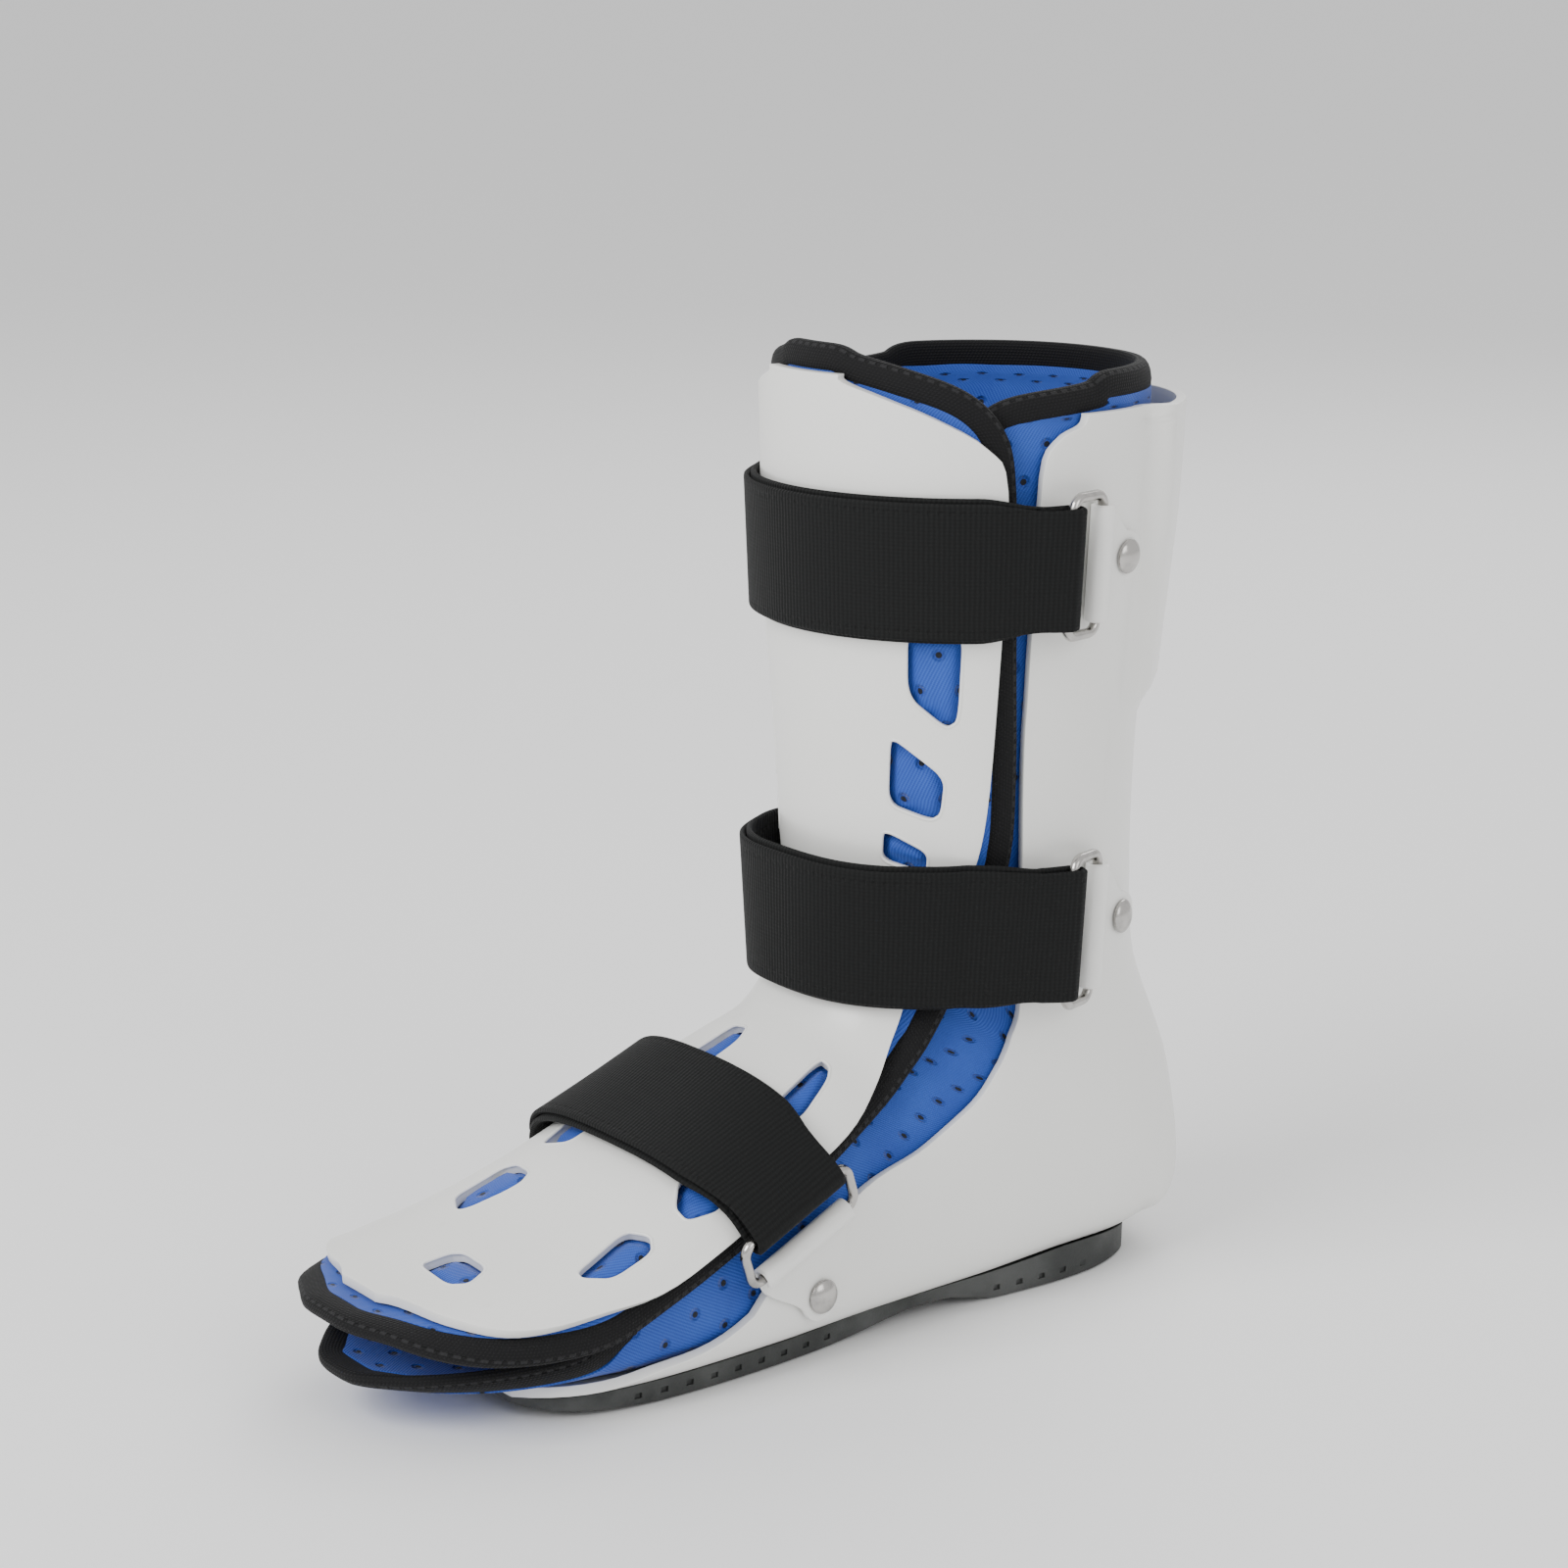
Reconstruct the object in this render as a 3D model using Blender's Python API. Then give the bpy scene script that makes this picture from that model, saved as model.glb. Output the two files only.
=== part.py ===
"""Night splint for the foot and lower leg: two moulded shells, two padded liners, straps and a sole.

Left foot, toes towards -Y, outer side towards +X, sole on Z = 0. Tables are in millimetres.
"""
import math

import bmesh
import bpy
import numpy as np

# Length from toe binding to heel, and the length that the tables below are drawn for.
SPLINT_LENGTH = 294.9
TABLE_LENGTH = 294.9
MM = 0.001 * SPLINT_LENGTH / TABLE_LENGTH

# One row per section ring. A ring lies in a plane that tilts from level (leg) to upright (foot).
# front and back are the reaches from the centre; the powers set how square each half is.
# Columns: name, centre_y, centre_z, tilt_deg, half_width, front, back, front_power, back_power.
SECTIONS = (
    ("top", 2.0, 284.0, 0.0, 52.0, 53.0, 56.0, 2.0, 2.1),
    ("calf", 2.0, 238.0, 0.0, 51.0, 52.0, 54.5, 2.0, 2.1),
    ("shin", 1.0, 196.0, 0.0, 48.0, 49.5, 52.0, 2.0, 2.1),
    ("low_leg", 1.0, 160.0, 0.0, 45.0, 47.0, 50.0, 2.0, 2.1),
    ("ankle", 2.0, 134.6, 9.0, 43.5, 48.6, 49.5, 2.0, 2.1),
    ("heel_upper", 3.0, 114.3, 20.0, 42.5, 52.1, 53.2, 2.0, 2.2),
    ("heel_mid", 4.0, 92.9, 30.0, 42.0, 58.3, 74.0, 2.0, 2.3),
    ("heel_corner", 4.0, 72.7, 38.0, 41.5, 64.7, 85.5, 2.0, 2.5),
    ("heel_sole", -2.0, 63.3, 43.0, 41.0, 64.6, 79.0, 2.1, 2.8),
    ("arch_rear", -14.0, 46.3, 52.0, 40.5, 63.2, 47.5, 2.2, 3.4),
    ("arch_front", -34.0, 35.3, 62.0, 40.5, 56.4, 29.5, 2.4, 4.0),
    ("instep", -64.0, 34.3, 75.0, 42.0, 43.8, 26.0, 2.6, 4.5),
    ("ball", -98.0, 28.0, 85.0, 45.0, 36.8, 19.5, 2.7, 4.5),
    ("toe_root", -134.0, 25.0, 90.0, 47.0, 22.8, 16.5, 2.7, 4.5),
    ("toes", -160.0, 25.0, 90.0, 46.5, 12.8, 16.0, 2.7, 4.5),
    ("toe_tip", -190.0, 25.0, 90.0, 44.0, 7.0, 15.0, 2.6, 4.5),
    ("past_toes", -218.0, 25.0, 90.0, 41.0, 5.0, 13.5, 2.6, 4.5),
)

# Edge lines seen from the side, from the leg top down to the toes. Columns: y, z.
REAR_SHELL_SIDE = (
    (2.0, 264.6), (-2.5, 263.2), (-6.5, 261.2), (-9.8, 258.2), (-11.6, 254.0), (-12.6, 246.0),
    (-13.0, 202.0), (-13.0, 174.0), (-11.5, 144.0), (-10.0, 114.0), (-10.0, 91.0), (-13.5, 81.0),
    (-19.5, 71.5), (-27.0, 65.0), (-38.0, 58.5), (-52.0, 54.0), (-70.0, 48.0), (-84.0, 40.0),
    (-98.0, 29.5), (-106.0, 24.0), (-113.0, 19.0), (-124.0, 15.5), (-136.0, 13.5), (-149.0, 12.0),
)
REAR_LINER_SIDE = (
    (12.0, 267.5), (-8.0, 267.0), (-16.0, 265.2), (-22.0, 261.0), (-25.5, 254.0), (-26.0, 245.0),
    (-26.0, 202.0), (-25.0, 174.0), (-25.0, 147.0), (-26.5, 125.0), (-35.0, 98.0), (-45.0, 85.0),
    (-56.0, 75.5), (-75.0, 62.5), (-98.0, 50.0), (-117.0, 41.5), (-134.0, 32.5), (-143.0, 27.0),
    (-150.0, 22.5), (-156.0, 18.5),
)
FRONT_SHELL_SIDE = (
    (-57.0, 277.2), (-54.5, 275.2), (-49.5, 271.8), (-42.0, 267.6), (-33.5, 262.5), (-27.5, 256.5),
    (-25.4, 250.0), (-24.6, 240.0), (-24.5, 219.0), (-25.0, 205.0), (-25.0, 174.0), (-26.0, 148.0),
    (-28.5, 135.0), (-35.5, 115.0), (-45.5, 95.5), (-54.0, 80.5), (-63.0, 72.5), (-74.0, 65.8),
    (-98.0, 55.0), (-119.0, 45.6), (-134.0, 39.8), (-154.0, 34.0),
)
FRONT_LINER_SIDE = (
    (-51.8, 277.4), (-49.3, 275.8), (-44.5, 273.6), (-37.0, 270.2), (-30.5, 265.0), (-27.2, 258.0),
    (-26.0, 247.0), (-24.5, 219.0), (-24.0, 202.0), (-22.0, 174.0), (-21.0, 147.0), (-22.5, 134.0),
    (-29.0, 112.0), (-36.5, 97.0), (-44.0, 85.5), (-55.0, 75.5), (-75.0, 65.8), (-98.0, 54.5),
    (-119.0, 45.4), (-136.0, 38.6), (-152.0, 33.2),
)

# Edge lines seen from above, past the last row of the side lines. Columns: y, half_x.
REAR_SHELL_PLAN = ((-158.0, 42.0), (-165.0, 39.0), (-171.0, 34.0), (-176.0, 27.0))
REAR_LINER_PLAN = (
    (-160.0, 41.5), (-168.0, 38.5), (-176.0, 35.0), (-184.0, 31.0), (-192.0, 26.5), (-199.0, 20.5),
    (-204.0, 14.0), (-206.5, 8.0),
)
FRONT_SHELL_PLAN = (
    (-165.0, 51.6), (-177.0, 49.6), (-185.0, 47.2), (-192.0, 43.4), (-197.0, 37.6), (-201.0, 29.6),
    (-204.0, 18.0), (-205.5, 9.0),
)
FRONT_LINER_PLAN = (
    (-163.0, 47.2), (-177.0, 45.0), (-186.0, 42.4), (-194.0, 38.2), (-200.0, 32.8), (-205.0, 24.8),
    (-208.0, 17.0), (-209.8, 9.0),
)
OUTSOLE_PLAN = (
    (57.5, 12.0), (54.0, 20.0), (47.0, 26.0), (36.0, 30.5), (20.0, 32.5), (0.0, 32.5),
    (-30.0, 31.5), (-60.0, 33.0), (-90.0, 37.5), (-120.0, 40.0), (-148.0, 39.5), (-162.0, 36.0),
    (-170.0, 30.0), (-174.0, 22.0),
)
# Underside of the sole along the foot: flat heel, raised arch, flat ball and a little toe spring.
# Columns: y, z.
TREAD = (
    (80.0, 0.0), (-9.0, 0.0), (-16.0, 1.2), (-26.0, 3.4), (-42.0, 3.2), (-60.0, 0.8), (-70.0, 0.0),
    (-136.0, 0.0), (-160.0, 1.6), (-176.0, 3.4),
)

# Level 0 is where the rear liner meets the rear shell; the front parts lie outside it.
REAR_LINER_LEVELS = (-5.3, -0.9)
REAR_SHELL_LEVELS = (0.0, 3.0)
FRONT_LINER_LEVELS = (0.1, 4.6)
FRONT_SHELL_LEVELS = (5.4, 8.4)
OUTSOLE_LEVEL = 3.8
OUTSOLE_TREAD_SHARE = 0.985

BINDING_WIDTH = 7.6
BINDING_GAP = 0.8
REAR_BINDING_CURL = 22.0
FRONT_BINDING_CURL = 60.0
REAR_BINDING_HALF = 2.2
FRONT_BINDING_HALF = 2.3
BINDING_FULL_SHARE = 0.72
BINDING_EDGE_SHARE = 0.4
BINDING_MAX_STRETCH = 1.43

# Raised panel up the back of the rear shell and the softer one round the heel.
SPINE_HALF_ANGLE = 60.0
SPINE_STEP_ANGLE = 7.0
SPINE_RAISE_TOP = 6.5
SPINE_RAISE_END = 4.8
SPINE_END = (2.25, 2.6)
HEEL_PANEL_HALF_ANGLE = 46.0
HEEL_PANEL_STEP_ANGLE = 12.0
HEEL_PANEL_RAISE = 1.5
HEEL_PANEL_START = (5.0, 6.0)
HEEL_PANEL_END = (7.7, 8.0)

# Places along the table of sections where each patch has a row of points.
REAR_SHELL_STATIONS = (
    0.428, 0.45, 0.49, 0.56, 0.75, 1.5, 2.25, 2.6, 3.6, 4.7, 5.3, 6.0, 6.5, 7.0, 7.35, 7.7, 8.0, 8.5, 9.1,
    9.7, 10.4, 11.1, 11.7, 12.3, 12.8, 13.4, 14.0, 14.53,
)
REAR_LINER_STATIONS = (
    0.36, 0.41, 0.47, 0.56, 0.75, 1.5, 2.6, 3.6, 4.7, 5.3, 6.0, 6.5, 7.0, 7.35, 7.7, 8.0, 8.5, 9.1,
    9.7, 10.4, 11.1, 11.7, 12.3, 12.8, 13.1, 13.4, 13.7, 14.0, 14.5, 14.9, 15.2, 15.45, 15.59,
)
FRONT_SHELL_STATIONS = (
    0.168, 0.22, 0.31, 0.42, 0.58, 0.8, 1.7, 2.7, 3.7, 4.6, 5.4, 6.2, 7.0, 7.8, 8.6, 9.4, 10.2, 11.0,
    11.8, 12.6, 13.3, 14.0, 14.6, 15.0, 15.3, 15.45, 15.552,
)
FRONT_LINER_STATIONS = (
    0.16, 0.2, 0.28, 0.4, 0.56, 0.8, 1.7, 2.7, 3.7, 4.6, 5.4, 6.2, 7.0, 7.8, 8.6, 9.4, 10.2, 11.0,
    11.8, 12.6, 13.3, 14.0, 14.6, 15.05, 15.36, 15.56, 15.706,
)
OUTSOLE_STATIONS = (
    8.05, 8.3, 8.6, 9.1, 9.65, 9.95, 10.5, 11.1, 11.8, 12.3, 12.8, 13.4, 14.0, 14.3, 14.46,
)

# How the points of one row are spread from the edge (0) to the centre line (1).
REAR_SHELL_SPREAD = (0.0, 0.14, 0.28, 0.40, 0.465, 0.58, 0.7, 0.85, 1.0)
REAR_LINER_SPREAD = (0.0, 0.14, 0.28, 0.42, 0.56, 0.7, 0.85, 1.0)
FRONT_SPREAD = (0.0, 0.2, 0.4, 0.6, 0.8, 1.0)
OUTSOLE_SPREAD = (0.0, 0.25, 0.65, 1.0)

# Openings in the front shell. The leg ones are told by angle and height and are on both sides; the
# foot ones are told by x and y and follow the foot's own slant.
LEG_WINDOWS = (
    ("shin_upper", ((36.5, 209.0), (53.0, 209.0), (52.3, 182.0), (48.2, 179.5), (36.5, 188.5))),
    (
        "shin_middle",
        ((31.0, 176.0), (34.0, 176.0), (48.5, 165.5), (47.5, 153.0), (44.0, 150.3), (30.0, 155.5)),
    ),
    ("shin_lower", ((28.8, 144.0), (32.0, 144.0), (44.0, 137.0), (43.5, 126.0), (28.5, 129.0))),
)
FOOT_WINDOWS = (
    (
        "instep_far",
        ((-12.0, -73.5), (-5.0, -73.0), (-2.5, -78.0), (-3.0, -90.0), (-8.0, -93.0), (-15.0, -90.0)),
    ),
    (
        "instep_near",
        ((25.0, -69.0), (29.0, -68.0), (32.0, -71.0), (37.0, -84.0), (34.5, -92.0), (29.0, -91.0)),
    ),
    ("ball_far", ((-31.0, -114.0), (-18.0, -112.0), (-15.5, -118.0), (-17.5, -128.0), (-29.0, -131.0))),
    (
        "ball_near",
        ((31.0, -112.0), (42.0, -112.0), (45.0, -118.0), (42.5, -127.5), (37.0, -128.0), (30.0, -122.0)),
    ),
    (
        "toe_far",
        ((-31.5, -142.5), (-27.0, -139.5), (-17.0, -141.0), (-14.5, -146.0), (-19.0, -165.0), (-31.5, -158.5)),
    ),
    (
        "toe_near",
        ((33.0, -142.5), (40.0, -137.5), (44.5, -140.0), (45.5, -154.0), (40.5, -161.0), (37.0, -160.5)),
    ),
    (
        "toe_end",
        ((1.0, -189.5), (1.5, -179.5), (5.0, -176.5), (18.5, -177.0), (22.5, -185.5), (18.5, -190.5)),
    ),
)
WINDOW_CORNER = 0.17
# How far the cutters reach below and above the middle of the shell wall, on the leg and on the foot.
LEG_CUT_BELOW = 4.0
LEG_CUT_ABOVE = 7.0
FOOT_CUT_BELOW = 5.5
FOOT_CUT_ABOVE = 9.0

STRAP_TAPER_LENGTH = 26.0
STRAP_THICK = 1.8
STRAP_TAPER_END = 6.0
STRAP_LAYER_GAP = 0.3
STRAP_FOLD_END_ANGLE = -62.0
# Before its ring a strap leaves the form, dips a little and runs straight into the fold.
STRAP_LEAVE_LENGTH = 14.0
STRAP_DIP_LENGTH = 7.0
STRAP_STRAIGHT_LENGTH = 10.0
STRAP_DIP = 1.6
STRAP_DIP_SHARE = 0.7
STRAP_UPPER_RISE = 1.2
STRAP_FAR_CLEARANCE = 1.3
# One row per strap. Columns: name, y, z (a point of its middle line), width_y, width_z (the way its
# width runs), bar_deg, tab_bar_deg (front and rear bars of its ring), rivet_deg, far_deg, clearance
# off the shell, spacing of its points, first_place, last_place (stretch of the form it lies on),
# width, ring_width (its width in the ring), ring_height, tab_width.
STRAPS = (
    (
        "shin", 0.0, 225.5, 0.0, 1.0, 80.5, 93.0, 106.0, -109.0, 0.9, 13.0, 0.3, 6.9,
        41.5, 35.5, 43.0, 34.0,
    ),
    (
        "ankle", 0.0, 117.0, 0.05, 1.0, 86.0, 98.5, 115.0, -112.0, 1.7, 13.0, 2.0, 10.4,
        43.0, 39.5, 47.0, 37.5,
    ),
    (
        "forefoot", -102.0, 60.0, 0.92, 0.40, 66.0, 80.0, 93.5, -98.0, 2.0, 8.0, 9.0, 14.5,
        41.0, 35.0, 45.0, 35.0,
    ),
)
FAR_RIVET_INSET = 9.0
FAR_RUN_OFF_ANGLES = (-66.0, -84.0)
PLACE_STEP = 0.05
# Angles, in degrees, by which a band is worked out past its ends, and its step.
BAND_PAST_FAR = 6.0
BAND_PAST_BAR = 16.0
TAB_BAND_BEFORE = 12.0
TAB_BAND_PAST = 18.0
BAND_STEP = 3.0

RING_WIRE = 3.0
RING_CORNER = 3.0
RING_SEGMENTS = 3
WIRE_SIDES = 5
WIRE_GAP = 0.35

TAB_THICK = 1.5
TAB_GAP = 0.45
TAB_END_WIDTH = 15.0
TAB_END_PAST_RIVET = 7.5
TAB_ROLL_ANGLES = (35.0, 270.0)
TAB_ROLL_STEPS = 8
STRAP_FOLD_STEPS = 6
# Columns: share of the tab's length, share of its narrowing.
TAB_TAPER = ((0.2, 0.15), (0.35, 0.42), (0.52, 0.7), (0.7, 0.9), (0.86, 1.0), (1.0, 1.25))

RIVET_PROFILE = ((5.0, 0.0), (5.0, 0.7), (4.1, 1.7), (2.3, 2.4))
RIVET_TOP = 2.6
RIVET_SIDES = 10
RIVET_GAP = 0.55

MATERIALS = {
    "white_shell": ((0.80, 0.80, 0.77), 0.35, 0.0),
    "blue_padding": ((0.03, 0.10, 0.42), 0.85, 0.0),
    "black_binding": ((0.012, 0.012, 0.013), 0.80, 0.0),
    "black_webbing": ((0.010, 0.011, 0.011), 0.75, 0.0),
    "dark_rubber": ((0.045, 0.047, 0.046), 0.70, 0.0),
    "bright_metal": ((0.80, 0.79, 0.76), 0.18, 1.0),
}

SECTION_VALUES = np.array([row[1:] for row in SECTIONS])


def section_at(place):
    """Return the smoothed section values at a place along the table."""
    last = len(SECTION_VALUES) - 1
    row = min(max(int(math.floor(place)), 0), last - 1)
    u = place - row
    before = SECTION_VALUES[max(row - 1, 0)]
    start = SECTION_VALUES[row]
    end = SECTION_VALUES[row + 1]
    after = SECTION_VALUES[min(row + 2, last)]
    linear = (end - before) * u
    square = (2 * before - 5 * start + 4 * end - after) * u**2
    cube = (3 * start - before - 3 * end + after) * u**3
    return 0.5 * (2 * start + linear + square + cube)


def signed_power(value, power):
    """Raise the size of a value to a power and keep its sign."""
    return math.copysign(abs(value) ** power, value)


def surface_point(place, degrees, level):
    """Point on the boot form: 0 degrees is the front or top, 90 the outer side, 180 the back or sole."""
    centre_y, centre_z, tilt, half_width, front, back, front_power, back_power = section_at(place)
    angle = math.radians(degrees)
    sine = math.sin(angle)
    cosine = math.cos(angle)
    power = front_power if cosine >= 0 else back_power
    reach = front if cosine >= 0 else back
    across = (half_width + level) * signed_power(sine, 2.0 / power)
    along = (reach + level) * signed_power(cosine, 2.0 / power)
    tilt = math.radians(tilt)
    return np.array([across, centre_y - math.cos(tilt) * along, centre_z + math.sin(tilt) * along])


def surface_normal(place, degrees, level):
    """Outward direction of the form, from small steps both ways."""
    step = 0.02
    down = surface_point(place + step, degrees, level) - surface_point(place - step, degrees, level)
    round_ = surface_point(place, degrees + 1.0, level) - surface_point(place, degrees - 1.0, level)
    normal = np.cross(down, round_)
    outward = surface_point(place, degrees, level) - surface_point(place, degrees, level - 5.0)
    normal *= math.copysign(1.0, float(normal @ outward))
    return normal / np.linalg.norm(normal)


def angle_from_side(place, level, side):
    """Angle at which the ring at a place crosses a line drawn in the side view, or None past its end."""
    centre_y, centre_z, tilt, _, front, back, front_power, back_power = section_at(place)
    tilt = math.radians(tilt)
    along = np.array([-math.cos(tilt), math.sin(tilt)])
    upward = np.array([math.sin(tilt), math.cos(tilt)])
    centre = np.array([centre_y, centre_z])
    heights = [float((np.array(point) - centre) @ upward) for point in side]
    point = None
    if heights[0] < 0.0:
        point = np.array(side[0])
    else:
        for index in range(len(side) - 1):
            if heights[index] >= 0.0 > heights[index + 1]:
                share = heights[index] / (heights[index] - heights[index + 1])
                point = (1.0 - share) * np.array(side[index]) + share * np.array(side[index + 1])
                break
    if point is None:
        return None
    distance = float((point - centre) @ along)
    reach = (front if distance >= 0 else back) + level
    power = front_power if distance >= 0 else back_power
    ratio = min(abs(distance) / reach, 1.0)
    return math.degrees(math.acos(math.copysign(ratio ** (power / 2.0), distance)))


def angle_from_plan(place, level, plan, on_top):
    """Angle at which the ring at a place reaches a width given in the plan view."""
    centre_y, _, _, half_width, _, _, front_power, back_power = section_at(place)
    ys = [row[0] for row in plan][::-1]
    xs = [row[1] for row in plan][::-1]
    half_x = float(np.interp(centre_y, ys, xs))
    power = front_power if on_top else back_power
    ratio = min(half_x / (half_width + level), 1.0)
    angle = math.degrees(math.asin(ratio ** (power / 2.0)))
    return angle if on_top else 180.0 - angle


def edge_angle(place, level, side, plan, on_top):
    """Angle of a part's edge at a place, from its side line and then from its plan line."""
    found = angle_from_side(place, level, side)
    if found is None:
        found = angle_from_plan(place, level, plan, on_top)
    return found


def smooth_step(value, low, high):
    """Rise smoothly from 0 at low to 1 at high."""
    share = min(max((value - low) / (high - low), 0.0), 1.0)
    return share * share * (3.0 - 2.0 * share)


def panel_raise(place, degrees):
    """How far the back panels of the rear shell stand out."""
    from_back = abs(degrees - 180.0)
    spine_low = SPINE_HALF_ANGLE - SPINE_STEP_ANGLE / 2
    spine_high = SPINE_HALF_ANGLE + SPINE_STEP_ANGLE / 2
    spine = 1.0 - smooth_step(from_back, spine_low, spine_high)
    spine *= 1.0 - smooth_step(place, *SPINE_END)
    height = SPINE_RAISE_TOP + (SPINE_RAISE_END - SPINE_RAISE_TOP) * min(place / SPINE_END[0], 1.0)
    heel_low = HEEL_PANEL_HALF_ANGLE - HEEL_PANEL_STEP_ANGLE / 2
    heel_high = HEEL_PANEL_HALF_ANGLE + HEEL_PANEL_STEP_ANGLE / 2
    heel = 1.0 - smooth_step(from_back, heel_low, heel_high)
    heel *= smooth_step(place, *HEEL_PANEL_START)
    heel *= 1.0 - smooth_step(place, *HEEL_PANEL_END)
    return spine * height + heel * HEEL_PANEL_RAISE


def make_materials():
    """Create one plain material for each finish."""
    made = {}
    for name, (colour, roughness, metallic) in MATERIALS.items():
        material = bpy.data.materials.new(name)
        material.use_nodes = True
        shader = material.node_tree.nodes["Principled BSDF"]
        shader.inputs["Base Color"].default_value = (*colour, 1.0)
        shader.inputs["Roughness"].default_value = roughness
        shader.inputs["Metallic"].default_value = metallic
        made[name] = material
    return made


def add_object(name, points, faces, material):
    """Make an object from points in millimetres, with its faces turned outwards."""
    mesh = bpy.data.meshes.new(name)
    mesh.from_pydata([tuple(float(c) * MM for c in point) for point in points], [], faces)
    made = bmesh.new()
    made.from_mesh(mesh)
    bmesh.ops.recalc_face_normals(made, faces=made.faces[:])
    made.to_mesh(mesh)
    made.free()
    mesh.validate()
    if material is not None:
        mesh.materials.append(material)
    item = bpy.data.objects.new(name, mesh)
    bpy.context.scene.collection.objects.link(item)
    return item


def both_sides(spread):
    """Mirror a half spread about the centre line."""
    left = [-(1.0 - value) for value in spread]
    return left + [-value for value in left[-2::-1]]


def patch_grid(stations, spread, middle, edge_of, levels, raise_of=None):
    """Inner and outer grids of points between the two edges of a patch."""
    inner = []
    outer = []
    for place in stations:
        edge = edge_of(place)
        reach = edge - middle
        row_in = []
        row_out = []
        for share in both_sides(spread):
            degrees = middle + abs(reach) * share
            lift = raise_of(place, degrees) if raise_of else 0.0
            row_in.append(surface_point(place, degrees, levels[0] + lift))
            row_out.append(surface_point(place, degrees, levels[1] + lift))
        inner.append(row_in)
        outer.append(row_out)
    return np.array(inner), np.array(outer)


def rim_of(rows, columns):
    """Grid positions round the rim of a patch, in order."""
    rim = [(0, c) for c in range(columns)]
    rim += [(r, columns - 1) for r in range(1, rows)]
    rim += [(rows - 1, c) for c in range(columns - 2, -1, -1)]
    rim += [(r, 0) for r in range(rows - 2, 0, -1)]
    return rim


def grid_solid(name, inner, outer, material):
    """Close two matching grids into one body."""
    rows, columns = inner.shape[:2]
    points = list(inner.reshape(-1, 3)) + list(outer.reshape(-1, 3))
    half = rows * columns
    faces = []
    for r in range(rows - 1):
        for c in range(columns - 1):
            a = r * columns + c
            b = a + 1
            d = a + columns
            faces.append((a, b, d + 1, d))
            faces.append((half + a, half + d, half + d + 1, half + b))
    rim = [r * columns + c for r, c in rim_of(rows, columns)]
    for start, end in zip(rim, rim[1:] + rim[:1]):
        faces.append((start, end, half + end, half + start))
    return add_object(name, points, faces, material)


def binding_solid(name, inner, outer, half_thick, curl_radius, material):
    """A rounded strip that follows the rim of a patch just outside it."""
    rows, columns = inner.shape[:2]
    rim = rim_of(rows, columns)
    middle = (inner + outer) / 2.0
    centres = np.array([middle[r, c] for r, c in rim])
    across = np.array([outer[r, c] - inner[r, c] for r, c in rim])
    count = len(rim)
    full = BINDING_WIDTH * BINDING_FULL_SHARE
    edge = half_thick * BINDING_EDGE_SHARE
    section = (
        (BINDING_GAP, -half_thick), (full, -half_thick), (BINDING_WIDTH, -edge),
        (BINDING_WIDTH, edge), (full, half_thick), (BINDING_GAP, half_thick),
    )
    points = []
    for k in range(count):
        before = centres[k] - centres[k - 1]
        after = centres[(k + 1) % count] - centres[k]
        before = before / np.linalg.norm(before)
        after = after / np.linalg.norm(after)
        normal = across[k] / np.linalg.norm(across[k])
        sides = [np.cross(before, normal), np.cross(after, normal)]
        sides = [side / np.linalg.norm(side) for side in sides]
        outward = sides[0] + sides[1]
        outward = outward / np.linalg.norm(outward)
        stretch = 1.0 / max(float(outward @ sides[0]), 1.0 / BINDING_MAX_STRETCH)
        normal = normal - outward * float(normal @ outward)
        normal = normal / np.linalg.norm(normal)
        row, column = rim[k]
        inward = middle[min(max(row, 1), rows - 2), min(max(column, 1), columns - 2)] - centres[k]
        if float(inward @ outward) > 0:
            outward = -outward
        for out, thick in section:
            curl = out * out / (2.0 * curl_radius)
            points.append(centres[k] + outward * out * stretch + normal * (thick - curl))
    size = len(section)
    faces = []
    for k in range(count):
        for m in range(size):
            a = k * size + m
            b = k * size + (m + 1) % size
            c = ((k + 1) % count) * size + (m + 1) % size
            d = ((k + 1) % count) * size + m
            faces.append((a, b, c, d))
    return add_object(name, points, faces, material)


def rounded_corners(corners, share):
    """Cut each corner of a closed outline into two points."""
    count = len(corners)
    outline = []
    for k in range(count):
        corner = np.array(corners[k])
        outline.append(corner + (np.array(corners[k - 1]) - corner) * share)
        outline.append(corner + (np.array(corners[(k + 1) % count]) - corner) * share)
    return outline


def add_window_cutter(front_level):
    """One hidden object that holds a prism for every opening of the front shell."""
    low = front_level - LEG_CUT_BELOW
    high = front_level + LEG_CUT_ABOVE
    loops = []
    for _, corners in LEG_WINDOWS:
        for side in (1.0, -1.0):
            outline = rounded_corners(corners, WINDOW_CORNER)
            places = [place_at_height(z) for _, z in outline]
            inner = [surface_point(t, side * a, low) for t, (a, _) in zip(places, outline)]
            outer = [surface_point(t, side * a, high) for t, (a, _) in zip(places, outline)]
            loops.append((inner, outer))
    for _, corners in FOOT_WINDOWS:
        outline = rounded_corners(corners, WINDOW_CORNER)
        heights = [top_height(x, y, front_level) for x, y in outline]
        inner = [(x, y, z - FOOT_CUT_BELOW) for (x, y), z in zip(outline, heights)]
        outer = [(x, y, z + FOOT_CUT_ABOVE) for (x, y), z in zip(outline, heights)]
        loops.append((inner, outer))
    points = []
    faces = []
    for inner, outer in loops:
        start = len(points)
        count = len(inner)
        points += inner + outer
        faces.append(tuple(start + k for k in range(count)))
        faces.append(tuple(start + count + k for k in range(count - 1, -1, -1)))
        for k in range(count):
            nxt = (k + 1) % count
            faces.append((start + k, start + nxt, start + count + nxt, start + count + k))
    cutter = add_object("window_cutter", points, faces, None)
    cutter.hide_render = True
    cutter.display_type = "WIRE"
    return cutter


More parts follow.
